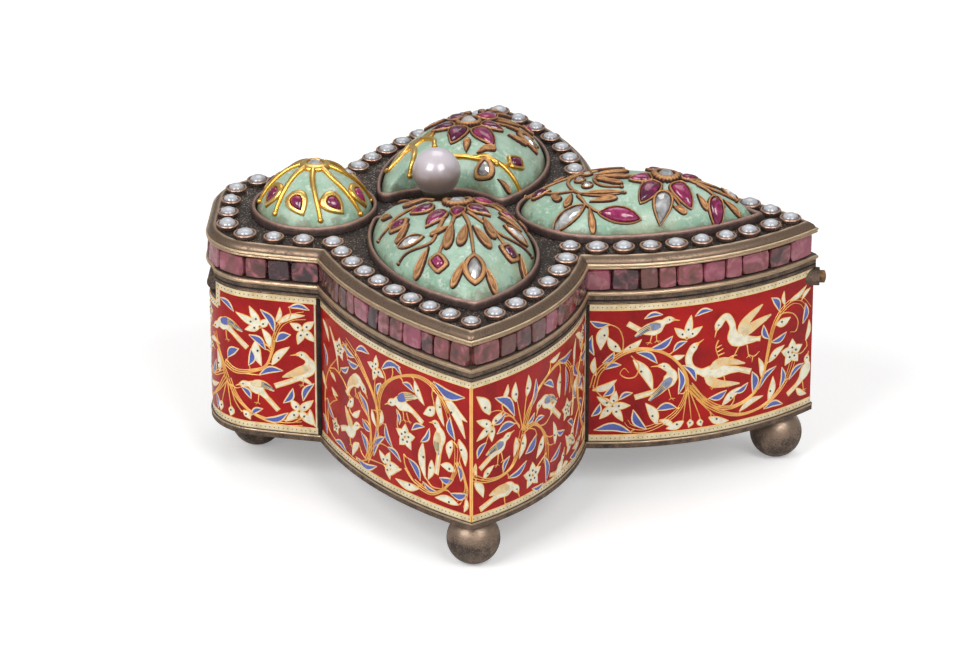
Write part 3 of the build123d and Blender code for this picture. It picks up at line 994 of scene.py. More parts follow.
@dataclass
class Palette:
    """Every material of the box, made once.

    Attributes:
        silver: The lid's moulding.
        plate: The stippled top plate.
        bezel: Bezels of the domes.
        collet: Collets of the half pearls.
        rim: Wires of walls and lid.
        ornament: Settings and twigs of red gold.
        gold: Settings and twigs of bright gold.
        dark: Cup of the centre pearl.
        brass: The button.
        band: Rims, base, hinge and lid band.
        feet: The ball feet.
        seam: The dark bars in the valleys and the dark lines at the joints, partly painted shade of their
            narrow gaps.
        inside: What shows when the lid is open.
        steel: Pin, spring and peg.
        ground: Red ground of the walls.
        cream: Birds and flowers.
        strip: Borders and feathers.
        blue: Leaves and shoulders of birds.
        grey: Shoulders of other birds.
        black: Eyes, dots and feather lines.
        wire: Gold lines of the enamel.
        jade: The domes.
        half_pearl: Pearls of the border.
        grey_pearl: The centre pearl.
        garnet: Stones of the band.
        ruby: Red stones of the domes.
        diamond: White stones of the domes.
    """

    silver: Material = made(WornMetal(
        "tarnished_silver", (0.26, 0.18, 0.125), (0.62, 0.46, 0.33), (0.045, 0.032, 0.025), 0.34))
    plate: Material = made(Granulated())
    bezel: Material = made(WornMetal(
        "rose_silver", (0.2, 0.12, 0.105), (0.5, 0.32, 0.26), (0.05, 0.032, 0.028), 0.5, 0.9, 0.36, 0.1))
    collet: Material = made(WornMetal(
        "collet_silver", (0.36, 0.21, 0.155), (0.72, 0.48, 0.36), (0.05, 0.03, 0.024), 0.36, 0.9, 0.3))
    rim: Material = made(WornMetal(
        "worn_gilt", (0.46, 0.32, 0.2), (0.88, 0.68, 0.46), (0.1, 0.065, 0.045), 0.32, 1.6, 0.26, 0.05))
    ornament: Material = made(WornMetal(
        "red_gold", (0.37, 0.145, 0.065), (0.74, 0.41, 0.19), (0.06, 0.022, 0.016), 0.52, 0.45, 0.32, 0.1))
    gold: Material = made(WornMetal(
        "bright_gold", (0.8, 0.42, 0.06), (1.0, 0.7, 0.24), (0.42, 0.19, 0.03), 0.2, 1.0, 0.24, 0.03, 1.0))
    dark: Material = made(WornMetal(
        "dark_silver", (0.17, 0.13, 0.1), (0.52, 0.42, 0.33), (0.035, 0.028, 0.024), 0.36, 2.2, 0.36, 0.05))
    brass: Material = made(WornMetal(
        "brass_button", (0.46, 0.24, 0.10), (0.8, 0.5, 0.24), (0.08, 0.04, 0.02), 0.35, 1.0, 0.3))
    band: Material = made(WornMetal(
        "rubbed_silver", (0.23, 0.155, 0.108), (0.56, 0.42, 0.3), (0.04, 0.03, 0.024), 0.29, 1.1, 0.4, 0.06))
    feet: Material = made(WornMetal(
        "foot_silver", (0.29, 0.205, 0.15), (0.66, 0.5, 0.37), (0.045, 0.034, 0.027), 0.32, 1.8, 0.36, 0.05))
    # partly painted shade: dark bars and lines that stand for the shade in narrow gaps
    seam: Material = made(WornMetal(
        "black_seam_and_shadow", (0.07, 0.046, 0.036), (0.24, 0.18, 0.14), (0.012, 0.010, 0.009), 0.4, 0.9, 0.5, 0.08))
    inside: Material = made(WornMetal(
        "silver_gilt", (0.62, 0.46, 0.27), (0.84, 0.68, 0.44), (0.14, 0.09, 0.05), 0.3, 6.0, 0.34, 0.03))
    steel: Material = made(WornMetal(
        "steel_wire", (0.32, 0.31, 0.29), (0.6, 0.59, 0.56), (0.06, 0.05, 0.045), 0.35, 1.5, 0.3))
    ground: Material = made(RedEnamel())
    cream: Material = made(Enamel("cream_enamel", (0.80, 0.76, 0.60), (0.62, 0.58, 0.43)))
    strip: Material = made(Enamel("border_enamel", (0.74, 0.63, 0.40), (0.55, 0.42, 0.22), 2.0))
    blue: Material = made(Enamel("blue_enamel", (0.07, 0.105, 0.40), (0.04, 0.055, 0.25)))
    grey: Material = made(Enamel("grey_enamel", (0.22, 0.27, 0.42), (0.11, 0.13, 0.2), 0.8))
    black: Material = made(Enamel("black_enamel", (0.03, 0.03, 0.035), (0.012, 0.012, 0.014)))
    wire: Material = made(WornMetal(
        "gold_line", (0.86, 0.47, 0.12), (1.0, 0.70, 0.32), (0.5, 0.21, 0.05), 0.2, 1.2, 0.3, 0.01, 0.4))
    jade: Material = made(Jade())
    # each pearl's second colour is painted shade towards its foot; the centre pearl's brown one is a painted
    # reflection of the box
    half_pearl: Material = made(Pearl("half_pearl", (0.52, 0.535, 0.57), (0.15, 0.14, 0.15), 2.0, 0.16))
    grey_pearl: Material = made(Pearl(
        "grey_pearl", (0.66, 0.60, 0.645), (0.21, 0.14, 0.12), 6.0, 0.2, 58.5, 8.6))
    garnet: Material = made(Stone(
        "garnet", (0.25, 0.045, 0.085), (0.022, 0.007, 0.012), (0.43, 0.18, 0.21), 2.6, 0.14, 0.5, 0.3,
        warm=(0.20, 0.06, 0.04), blush=0.6, lustre=1.5, low=0.34, high=0.62))
    ruby: Material = made(Stone(
        "ruby", (0.30, 0.008, 0.085), (0.05, 0.002, 0.024), (0.6, 0.12, 0.32), 1.4, 0.06, 0.25, 0.1))
    diamond: Material = made(Stone(
        "diamond", (0.62, 0.63, 0.62), (0.09, 0.09, 0.09), (0.95, 0.95, 0.95), 2.2, 0.08, 0.8, 0.06, 0.5))


# ------------------------------------------------------------------ geometry nodes
class Recipe:
    """A Geometry Nodes tree with named sizes, which is turned into plain meshes.

    Attributes:
        tree: The tree.
        start: The geometry that it is given.
        sizes: Value of each named size.
    """

    def __init__(self, name: str) -> None:
        """Start a tree.

        Args:
            name: Its name.
        """
        self.tree = bpy.data.node_groups.new(name, "GeometryNodeTree")
        for way in ("INPUT", "OUTPUT"):
            self.tree.interface.new_socket("Geometry", in_out=way, socket_type="NodeSocketGeometry")
        self.entry = self.tree.nodes.new("NodeGroupInput")
        self.start = self.entry.outputs["Geometry"]
        self.sizes: dict[str, float] = {}

    def size(self, name: str, value: float) -> Socket:
        """Add a named number, which is in metres where it is a length.

        Args:
            name: Its name.
            value: Its value.

        Returns:
            The input.
        """
        item = self.tree.interface.new_socket(name, in_out="INPUT", socket_type="NodeSocketFloat")
        self.sizes[item.identifier] = value
        return self.entry.outputs[name]

    def node(self, kind: str, inputs: dict[object, object], output: object = 0,
             **settings: object) -> Socket:
        """Add a node.

        Args:
            kind: Blender's name of its type.
            inputs: Values, links or lists of links, by name or number of the socket.
            output: The wanted output, by name or number.
            settings: Its properties, set first.

        Returns:
            The wanted output.
        """
        made = self.tree.nodes.new(kind)
        for key, value in settings.items():
            setattr(made, key, value)
        for key, value in inputs.items():
            for source in value if isinstance(value, list) else [value]:
                if isinstance(source, Socket):
                    self.tree.links.new(source, made.inputs[key])
                else:
                    made.inputs[key].default_value = source
        return made.outputs[output]

    def axes(self, vector: Socket) -> list[Socket]:
        """The three numbers of a vector."""
        parts = self.node("ShaderNodeSeparateXYZ", {0: vector}).node
        return list(parts.outputs)

    def circle(self, label: str, radius: float, sides: int) -> Socket:
        """A circle whose radius is a named size, given in millimetres."""
        return self.node("GeometryNodeCurvePrimitiveCircle", {
            "Resolution": sides, "Radius": self.size(label, radius * MM)}, mode="RADIUS")

    def ball(self, label: str, radius: float, segments: int, rings: int) -> Socket:
        """A sphere whose radius is a named size, given in millimetres."""
        return self.node("GeometryNodeMeshUVSphere", {
            "Segments": segments, "Rings": rings, "Radius": self.size(label, radius * MM)})

    def tube(self, radius: float, sides: int, **taper: float) -> Socket:
        """A wire along every given curve.

        Args:
            radius: Its radius.
            sides: Sides of its section.
            taper: Sockets of the range that turns the share of a curve's length into a thickness,
                with _ for a space.

        Returns:
            The wires.
        """
        along = self.node("GeometryNodeSplineParameter", {}, "Factor")
        span = {key.replace("_", " "): value for key, value in taper.items()}
        return self.node("GeometryNodeCurveToMesh", {
            "Curve": self.start, "Profile Curve": self.circle("Radius", radius, sides),
            "Scale": self.node("ShaderNodeMapRange", {"Value": along, **span}), "Fill Caps": True})

    def spread(self, thing: Socket) -> Socket:
        """The thing on every given point, turned and sized as the point says.

        Args:
            thing: What is set on the points.

        Returns:
            The copies.
        """
        turn, scale = (self.node("GeometryNodeInputNamedAttribute", {"Name": name}, data_type="FLOAT_VECTOR")
                       for name in ("turn", "size"))
        return self.node("GeometryNodeInstanceOnPoints", {
            "Points": self.start, "Instance": thing, "Rotation": turn, "Scale": scale})

    def bake(self, source: Object, name: str, geometry: Socket, finish: Material, crease: float = 40.0,
             worn: bool = True) -> Object:
        """Run the tree on an object and keep the result as a plain mesh.

        Args:
            source: Object that the tree works on; it is deleted afterwards.
            name: Name of the finished piece.
            geometry: The tree's last geometry.
            finish: Material of the piece.
            crease: Angle above which an edge stays sharp, in degrees.
            worn: Mark what faces up as worn, which paints upward faces lighter and cleaner as painted top
                light.

        Returns:
            The finished piece.
        """
        whole = self.node("GeometryNodeRealizeInstances", {"Geometry": geometry})
        # painted top light: the wear stored here is how far each face looks up, so faces that look up are
        # painted lighter and cleaner
        if worn:
            painted_top_light = self.axes(self.node("GeometryNodeInputNormal", {}))[2]
            level = self.node("ShaderNodeMapRange", {"Value": painted_top_light})
            whole = self.node("GeometryNodeStoreNamedAttribute", {
                "Geometry": whole, "Name": "wear", "Value": level}, data_type="FLOAT", domain="POINT")
        dressed = self.node("GeometryNodeSetMaterial", {"Geometry": whole, "Material": finish})
        leave = self.tree.nodes.new("NodeGroupOutput")
        self.tree.links.new(dressed, leave.inputs["Geometry"])
        modifier = source.modifiers.new(name, "NODES")
        modifier.node_group = self.tree
        for key, value in self.sizes.items():
            modifier[key] = value
        bpy.context.view_layer.update()
        graph = bpy.context.evaluated_depsgraph_get()
        mesh = bpy.data.meshes.new_from_object(source.evaluated_get(graph))
        source.modifiers.remove(modifier)
        bpy.data.objects.remove(source)
        mesh.name = name
        return shaded(name, mesh, crease)


def spots(name: str, places: Sequence[Sequence[float]], turns: Sequence[Triple],
          sizes: Sequence[Triple]) -> Object:
    """Loose points for a recipe to place things on.

    Args:
        name: Name of the object.
        places: The points, in millimetres.
        turns: Turn of the thing on each point, about each axis.
        sizes: Size of the thing on each point, along each axis.

    Returns:
        An object with the points.
    """
    mesh = bpy.data.meshes.new(name)
    mesh.from_pydata((np.asarray(places, float) * MM).tolist(), [], [])
    for label, rows in (("turn", turns), ("size", sizes)):
        layer = mesh.attributes.new(label, "FLOAT_VECTOR", "POINT")
        layer.data.foreach_set("vector", np.asarray(rows, np.float32).ravel())
    return linked(name, mesh)


def lines(name: str, paths: Sequence[Sequence[Sequence[float]]]) -> Object:
    """Curves for a recipe to follow.

    Args:
        name: Name of the object.
        paths: Points of each curve, in millimetres.

    Returns:
        An object with the curves.
    """
    curve = bpy.data.curves.new(name, "CURVE")
    curve.dimensions = "3D"
    for path in paths:
        spline = curve.splines.new("POLY")
        spline.points.add(len(path) - 1)
        rows = np.column_stack([np.asarray(path) * MM, np.ones(len(path))])
        spline.points.foreach_set("co", rows.ravel())
    return linked(name, curve)


# ------------------------------------------------------------------ body
@dataclass
class Casket:
    """The body: enamelled walls, base, ball feet, rim, hinge and push button.

    Attributes:
        plan: Plan of the box.
        palette: Its materials.
        base_z: Underside of the base.
        enamel_low: Lower edge of the enamel.
        enamel_high: Upper edge of the enamel.
        rim_z: Top of the rim.
        enamel_inset: Face of the enamel from the edge of the plan.
        wall_inset: Face of the metal wall behind it.
        wire_r: Radius of the wires at the foot and rim of the walls.
        dark_line_r: Radii of the dark lines under the lid, over the enamel and at its foot.
        seam_r: Radius of the seam in each valley.
        foot_r: Radius of a ball foot.
        feet: Places of the feet.
    """

    plan: BoxPlan
    palette: Palette
    base_z: float = 10.5
    enamel_low: float = 11.9
    enamel_high: float = 42.9
    rim_z: float = 43.9
    enamel_inset: float = 0.3
    wall_inset: float = 0.9
    wire_r: tuple[float, float] = (0.26, 0.22)
    dark_line_r: tuple[float, float, float] = (0.26, 0.16, 0.13)
    seam_r: float = 0.74
    foot_r: float = 5.4
    feet: tuple[Point, ...] = ((-54.55, 0.0), (-6.4, -51.2), (53.8, 0.0), (-6.4, 51.2))

    def build(self) -> None:
        """Make every piece of the body."""
        chain = self.plan.chain()
        self.grounds(chain)
        self.valley_joint_shades(chain)
        self.shadow_and_joint_lines(chain)
        self.wall_wires(chain)
        self.ball_feet()
        own = self.palette
        dress(own.band, "base_plate", "body_rim", "button_bush", "hinge_leaf_body", "hinge_leaf_lid")
        dress(own.inside, "wall_head", "wall_front", "wall_tail", "wall_back", "lid_catch")
        dress(own.steel, "hinge_pin", "latch_spring", "spring_seat")
        dress(own.brass, "push_button")

    def grounds(self, chain: Chain) -> None:
        """The red ground of each lobe.

        Args:
            chain: Arcs of the plan.
        """
        fine = Chain(chain.arcs, 0.5)
        counts = np.cumsum([0, *fine.counts()])
        faces = fine.half(self.enamel_inset), fine.half(self.wall_inset)
        for lobe, first, last in (("head", 0, 3), ("front", 3, 5), ("tail", 5, 6), ("back", 3, 5)):
            walks = [face[counts[first]:counts[last] + 1] for face in faces]
            if lobe == "back":
                walks = [walk * MIRROR for walk in walks]
            if lobe == "head":
                walks = [np.vstack([(walk * MIRROR)[::-1], walk[1:]]) for walk in walks]
            if lobe == "tail":
                walks = [np.vstack([walk, (walk * MIRROR)[-2::-1]]) for walk in walks]
            piece = self.panel(*walks).piece(f"red_ground_{lobe}", [self.palette.ground])
            seat(piece, "body", "red_enamel", [f"enamel_{lobe}"])

    def panel(self, outer: np.ndarray, inner: np.ndarray) -> Shell:
        """A slab of enamel, lowered where the hinge notch is.

        Args:
            outer: Walk along its face.
            inner: Walk along its back.

        Returns:
            The slab.
        """
        loops: list[np.ndarray] = []
        before = self.top_at(outer[0])
        for a, b in zip(outer, inner):
            here = self.top_at(a)
            for top in (here,) if here == before else (before, here):
                loops.append(np.array([(*a, self.enamel_low), (*a, top), (*b, top), (*b, self.enamel_low)]))
            before = here
        shell = Shell()
        shell.rings(loops)
        return shell

    def top_at(self, point: np.ndarray) -> float:
        """Upper edge of the enamel at a point of the plan."""
        notched = point[0] < NOTCH_X and abs(point[1]) < NOTCH_HALF
        return NOTCH_FLOOR if notched else self.enamel_high

    def wall_wires(self, chain: Chain) -> None:
        """A gilt wire along the foot of the walls, and one along the rim that stops at the hinge.

        Args:
            chain: Arcs of the plan.
        """
        foot, rim = self.wire_r
        shell = Shell()
        shell.swept(chain, round_bead(0.16, 11.72, foot), closed=True)
        self.open_run(shell, chain, 0.2, 43.05, rim, 0.9)
        seat(shell.piece("wall_wires", [self.palette.rim]), "body", "silver_gilt")

    def shadow_and_joint_lines(self, chain: Chain) -> None:
        """The dark line under the lid, a painted shadow of the gap where lid and rim meet, a finer one over
        the enamel and one at its foot.

        Args:
            chain: Arcs of the plan.
        """
        under_lid, over, foot = self.dark_line_r
        shell = Shell()
        # painted shadow: lid and rim touch with no gap, so a dark wire stands for the gap's shadow
        self.open_run(shell, chain, 0.16, self.rim_z - 0.2, under_lid, 0.2)
        self.open_run(shell, chain, 0.12, self.enamel_high + 0.1, over, 0.2)
        shell.swept(chain, round_bead(0.1, 12.02, foot), closed=True)
        seat(shell.piece("shadow_and_joint_lines", [self.palette.seam]), "body", "dark_silver")

    def open_run(self, shell: Shell, chain: Chain, inset: float, z: float, radius: float,
                 wear: float) -> None:
        """Gather a round bar that follows the walls from one side of the hinge notch to the other.

        Args:
            shell: What it is added to.
            chain: The plan.
            inset: Its middle from the edge of the plan.
            z: Its height.
            radius: Its radius.
            wear: How worn it is.
        """
        clear = NOTCH_HALF + 0.3
        half = [(x, y) for x, y in chain.half(inset) if x > NOTCH_X or abs(y) > clear]
        for side in (1, -1):
            shell.strand([Vector((x, y * side, z)) for x, y in half], radius, 6, wear=wear)

    def valley_joint_shades(self, chain: Chain) -> None:
        """A dark bar down each valley of the walls, where two lobes meet: the joint, painted dark as the
        shade in its narrow gap.

        Args:
            chain: Arcs of the plan.
        """
        shell = Shell()
        counts, half = chain.counts(), chain.half(self.enamel_inset)
        heights = (self.enamel_low + 0.3, 22.0, 32.0, self.enamel_high - 0.2)
        for arcs in (3, 5):
            x, y = half[sum(counts[:arcs])]
            for side in (1, -1):
                run = [Vector((x, y * side, z)) for z in heights]
                # painted shade: the dark bar stands for the shade in the valley's narrow gap as well as the
                # joint
                shell.strand(run, self.seam_r, 10, up=Vector((1, 0, 0)), wear=0.3)
        seat(shell.piece("valley_joints_and_shade", [self.palette.seam]), "body", "dark_silver")

    def ball_feet(self) -> None:
        """The four ball feet, cut flat at the floor and under the base."""
        recipe = Recipe("turned_balls")
        ball = recipe.ball("Radius", self.foot_r, 48, 32)
        balls = recipe.node("GeometryNodeInstanceOnPoints", {"Points": recipe.start, "Instance": ball})
        x, y, z = recipe.axes(recipe.node("GeometryNodeInputPosition", {}))
        over = recipe.node("ShaderNodeMath", {0: z, 1: 0.0}, operation="MAXIMUM")
        under = recipe.node("ShaderNodeMath", {0: over, 1: self.base_z * MM}, operation="MINIMUM")
        cut = recipe.node("GeometryNodeSetPosition", {
            "Geometry": recipe.node("GeometryNodeRealizeInstances", {"Geometry": balls}),
            "Position": recipe.node("ShaderNodeCombineXYZ", {"X": x, "Y": y, "Z": under})})
        none = [(0, 0, 0)] * len(self.feet)
        sunk = 0.15
        points = spots("feet", [(x, y, self.foot_r - sunk) for x, y in self.feet], none, none)
        piece = recipe.bake(points, "turned_feet", cut, self.palette.feet)
        seat(piece, "body", "dark_silver", ["ball_feet"])


# ------------------------------------------------------------------ enamel motifs
def smooth(path: Path, count: int) -> np.ndarray:
    """A smooth curve through the points of a path.

    Args:
        path: The points.
        count: Wanted samples.

    Returns:
        The samples, evenly spread over the spans of the path.
    """
    points = np.asarray(path, float)
    ends = np.vstack([2 * points[0] - points[1], points, 2 * points[-1] - points[-2]])
    spans = np.linspace(0, len(points) - 1, count)
    which = np.minimum(spans.astype(int), len(points) - 2)
    t = (spans - which)[:, None]
    a, b, c, d = (ends[which + k] for k in range(4))
    square, cube = 2 * a - 5 * b + 4 * c - d, 3 * b - a - 3 * c + d
    return 0.5 * (2 * b + (c - a) * t + square * t ** 2 + cube * t ** 3)


def stem(path: Path, pace: int = 6) -> np.ndarray:
    """Samples of a smooth stem, so many to each span of its path."""
    return smooth(path, pace * (len(path) - 1) + 1)


def headings(path: np.ndarray) -> np.ndarray:
    """Unit direction of a path at each of its points."""
    ahead = np.gradient(np.asarray(path, float), axis=0)
    return ahead / (np.linalg.norm(ahead, axis=1)[:, None] + 1e-9)


def beside(run: np.ndarray, away: float) -> list[Point]:
    """The points of a line moved to its left."""
    return [(x - dz * away, z + dx * away) for (x, z), (dx, dz) in zip(run, headings(run))]


def ribbon(path: Path, widths: Sequence[float], grow: float = 0.0, count: int = 9) -> np.ndarray:
    """Outline of a flat shape along a bent middle line.

    Args:
        path: Points of the middle line.
        widths: Widths at even steps along it.
        grow: Added on every side, less towards the ends.
        count: Samples along it.

    Returns:
        Points round the shape.
    """
    least = 0.02
    middle = smooth(path, count)
    ahead = headings(middle)
    steps = np.linspace(0, 1, count)
    edge = grow * np.clip(0.25 + 4.5 * np.minimum(steps, 1 - steps), 0, 1) if grow > 0 else grow
    half = np.maximum(np.interp(steps, np.linspace(0, 1, len(widths)), widths) / 2 + edge, least)
    middle[0] -= ahead[0] * grow
    middle[-1] += ahead[-1] * grow
    side = np.column_stack([-ahead[:, 1], ahead[:, 0]]) * half[:, None]
    return np.vstack([middle + side, (middle - side)[::-1]])


def disc(centre: Point, radius: float, sides: int = 8) -> np.ndarray:
    """Outline of a dot."""
    turns = np.linspace(0, 2 * math.pi, sides, endpoint=False)
    return np.column_stack([centre[0] + radius * np.cos(turns), centre[1] + radius * np.sin(turns)])


def bowed(base: Point, tip: Point, bow: float) -> Path:
    """A middle line from a base to a tip that bows to one side by a share of its length."""
    side = (base[1] - tip[1], tip[0] - base[0])
    return base, ((base[0] + tip[0]) / 2 + side[0] * bow, (base[1] + tip[1]) / 2 + side[1] * bow), tip


class Tone(Enum):
    """The enamels and the height of each over the red ground, in millimetres."""

    GOLD = 0.05
    CREAM = 0.08
    STRIP = 0.085
    EDGE = 0.1
    DOWN = 0.118
    BLUE = 0.125
    GREY = 0.121
    LINE = 0.15
    BLACK = 0.17


@dataclass(frozen=True)
class Bird:
    """A bird of the enamel.

    Attributes:
        spine: From the tip of the beak by head, neck and body to the end of the tail.
        girth: Width of its body.
        wings: Its wings, each from the shoulder to the tip.
        tone: Enamel of the shoulder; a cream wing has gold feather lines.
        legs: Its legs, each from the body to the foot.
        chest: Number of the spine's point where the body begins.
        span: Width that the wings are scaled by; none takes the girth.
    """

    spine: Path
    girth: float
    wings: tuple[Path, ...] = ()
    tone: Tone = Tone.BLUE
    legs: tuple[Path, ...] = ()
    chest: float = 2.0
    span: float = 0.0


class Inlay:
    """Flat motifs on one run of wall, cut into strips that follow its curve.

    Attributes:
        walk: The run of wall.
        layers: Outlines of length and height in each enamel.
        vines: Thick stems.
        tendrils: Thin stems, drawn ones first.
        stem_count: Number of drawn thin stems; stalks come after them.
    """

    # heights that the motifs and the stems are kept between, and how far stems stand out
    LOW, HIGH = 11.93, 42.87
    STEM_LOW, STEM_HIGH, STEM_LIFT = 12.2, 42.6, 0.02
    # free ends of a run, depth of the enamel's feet and the step from one enamel to the next
    MARGIN = 0.3
    SINK = -0.06
    STEP = 0.004
    # widths along a motif, as shares of its greatest width
    LEAF = (0.02, 0.5, 0.85, 1.0, 0.9, 0.5, 0.02)
    PETAL = (0.15, 0.7, 1.0, 1.0, 0.8, 0.45, 0.04)
    WING = (0.3, 0.62, 0.68, 0.6, 0.48, 0.32, 0.08)
    # a bird: its toes, and the place on the spine and the width of head, neck, body and tail
    TOES = ((0.85, -0.1), (0.55, -0.5), (-0.45, -0.35))
    HEAD_AND_NECK = ((0.6, 0.2), (0.85, 0.46), (1.1, 0.5), (1.5, 0.4))
    BODY = ((-0.35, 0.36), (0.1, 0.78), (0.5, 1.0), (1.0, 0.9), (1.5, 0.5), (2.1, 0.3))
    TAIL_END = (0.2, 0.46)

    def __init__(self, walk: Walk) -> None:
        """Start with a bare run of wall.

        Args:
            walk: The run.
        """
        self.walk = walk
        self.layers: dict[Tone, list[np.ndarray]] = {tone: [] for tone in Tone}
        self.vines: list[np.ndarray] = []
        self.tendrils: list[np.ndarray] = []
        self.stem_count = 0

    def lay(self, tone: Tone, outline: np.ndarray, edge: float = MARGIN) -> None:
        """Lay one flat shape.

        Args:
            tone: Its enamel.
            outline: Points round it.
            edge: How far it is kept off the edges of the run.
        """
        kept = np.array(outline, float)
        kept[:, 0] = np.clip(kept[:, 0], edge, self.walk.length - edge)
        kept[:, 1] = np.clip(kept[:, 1], self.LOW + edge, self.HIGH - edge)
        self.layers[tone].append(kept)

    def stack(self, path: Path, widths: Sequence[float], *coats: tuple[Tone, float], count: int = 9) -> None:
        """Lay one shape in several enamels.

        Args:
            path: Its middle line.
            widths: Widths at even steps along it.
            coats: Each enamel and what it is grown by.
            count: Samples along it.
        """
        for tone, grow in coats:
            self.lay(tone, ribbon(path, widths, grow, count))

    def line(self, path: Path, widths: Sequence[float], count: int, tone: Tone = Tone.LINE) -> None:
        """Lay a thin line, gold if not said otherwise."""
        self.lay(tone, ribbon(path, widths, count=count))

    def leaf(self, path: Path, width: float) -> None:
        """A pointed blue leaf with a cream edge between gold lines."""
        widths = [width * share for share in self.LEAF]
        self.stack(path, widths, (Tone.GOLD, 0.25), (Tone.CREAM, 0.11), (Tone.BLUE, -0.08))

    def petal(self, path: Path, width: float, dot: bool = False) -> None:
        """A cream petal in a gold line.

        Args:
            path: Its middle line.
            width: Its greatest width.
            dot: Put a black spot on it.
        """
        self.stack(path, [width * share for share in self.PETAL], (Tone.GOLD, 0.2), (Tone.CREAM, 0.0))
        if dot:
            (x0, z0), (x1, z1) = path[0], path[-1]
            root, tip, largest = 0.62, 0.38, 0.24
            spot = (x0 * root + x1 * tip, z0 * root + z1 * tip)
            self.lay(Tone.BLACK, disc(spot, min(largest, width * 0.16)))

    def flower(self, centre: Point, tips: Path, width: float = 1.35) -> None:
        """Cream petals round a gold eye.

        Args:
            centre: Its centre.
            tips: Tips of its petals.
            width: Width of a petal.
        """
        for tip in tips:
            self.petal((centre, ((centre[0] + tip[0]) / 2, (centre[1] + tip[1]) / 2), tip), width, True)
        eye, pupil = 0.4, 0.17
        self.lay(Tone.LINE, disc(centre, eye))
        self.lay(Tone.BLACK, disc(centre, pupil))

    def rosette(self, centre: Point, radius: float) -> None:
        """A round flower with even petals.

        Args:
            centre: Its centre.
            radius: Its radius.
        """
        petals, turn, broad = 5, 0.3, 0.62
        tips = [(centre[0] + radius * math.cos(turn + 2 * math.pi * i / petals),
                 centre[1] + radius * math.sin(turn + 2 * math.pi * i / petals)) for i in range(petals)]
        self.flower(centre, tips, radius * broad)

    def bird(self, bird: Bird) -> None:
        """A cream bird in a gold line, with a gold beak.

        Args:
            bird: The bird.
        """
        for leg in bird.legs:
            self.leg(leg)
        last, pace, beak = len(bird.spine) - 1, 10, 6
        run = smooth(bird.spine, pace * last + 1)
        self.lay(Tone.EDGE, ribbon(run[0:9:2], (0.1, 0.3, 0.42), 0.0, 5))
        body = [(bird.chest + along, share) for along, share in self.BODY if bird.chest + along <= last]
        end = (last + self.TAIL_END[0], self.TAIL_END[1])
        steps = np.arange(beak, pace * last + 1) / pace
        shares = np.interp(steps, *zip(*self.HEAD_AND_NECK, *body, end))
        path = run[beak:]
        self.stack(path, bird.girth * shares, (Tone.GOLD, 0.2), (Tone.CREAM, 0.0), count=len(path))
        self.lay(Tone.BLACK, disc(run[pace], 0.17, 7))
        for offset in (-0.13, 0.13):
            self.line(beside(run[-pace:], bird.girth * offset), (0.09, 0.09), 5)
        for wing in bird.wings:
            self.wing(wing, bird.span or bird.girth, bird.tone)

    def leg(self, path: Path) -> None:
        """A thin gold leg with three toes.

        Args:
            path: From the body to the foot.
        """
        self.line(path, (0.24, 0.13), 3)
        (s0, _), (s1, z1) = path[0], path[-1]
        way = 1 if s1 > s0 else -1
        for across, down in self.TOES:
            self.line(((s1, z1), (s1 + across * way, z1 + down)), (0.13, 0.06), 2)

    def wing(self, path: Path, girth: float, tone: Tone) -> None:
        """A folded or lifted wing: a shoulder of one enamel and long feathers between thin lines.

        Args:
            path: From the shoulder to the tip.
            girth: What its width is scaled by.
            tone: Enamel of the shoulder.
        """
        swan = tone is Tone.CREAM
        shape = [girth * share for share in self.WING]
        count, shoulder = 13, 5
        self.stack(path, shape, (Tone.EDGE, 0.13), (Tone.DOWN, 0.0), count=count)
        run = smooth(path, count)
        if not swan:
            self.lay(tone, ribbon(run[:6], shape[:3] + [shape[3] * 1.1], -0.02, 6))
            self.line(beside(run[6:], girth * 0.1), (girth * 0.2, girth * 0.1), 6, Tone.GREY)
        for offset in (-0.2, -0.07, 0.06, 0.19):
            feather = beside(run[3 if swan else shoulder:11], girth * offset)
            self.line(feather, (0.11, 0.1, 0.05), 5, Tone.LINE if swan else Tone.BLACK)
        across = [beside(run[shoulder:shoulder + 2], girth * offset)[0] for offset in (0.3, -0.3)]
        self.line(across, (0.12, 0.12), 3)

    def stalk(self, base: Point, least: float = 0.3, most: float = 4.2) -> None:
        """Join a leaf to the nearest stem with a thin line that leaves it at a slant.

        Args:
            base: Root of the leaf.
            least: Shortest gap that gets a stalk.
            most: Longest one.
        """
        found = []
        for path in self.vines + self.tendrils[:self.stem_count]:
            gaps = np.linalg.norm(path - np.array(base), axis=1)
            found.append((float(gaps.min()), int(gaps.argmin()), path))
        gap, number, path = min(found, key=lambda item: item[0])
        sample, straight, slant = 1.6, 0.8, 0.2
        if least < gap < most:
            start = path[max(0, number - 1 - int(gap / sample))]
            middle = (np.array(base) + path[number]) / 2 * straight + start * slant
            self.tendrils.append(smooth((start, middle, base), 7))

    def mapped(self, flat: np.ndarray) -> np.ndarray:
        """Lay points on the wall.

        Args:
            flat: Length, height and relief of each point.

        Returns:
            The points in space.
        """
        walk = self.walk
        normals = np.array([walk.normal(length) for length in walk.lengths])
        place, out = (np.column_stack([np.interp(flat[:, 0], walk.lengths, rows[:, k]) for k in (0, 1)])
                      for rows in (walk.points, normals))
        return np.column_stack([place + out * flat[:, 2:3], flat[:, 1]])

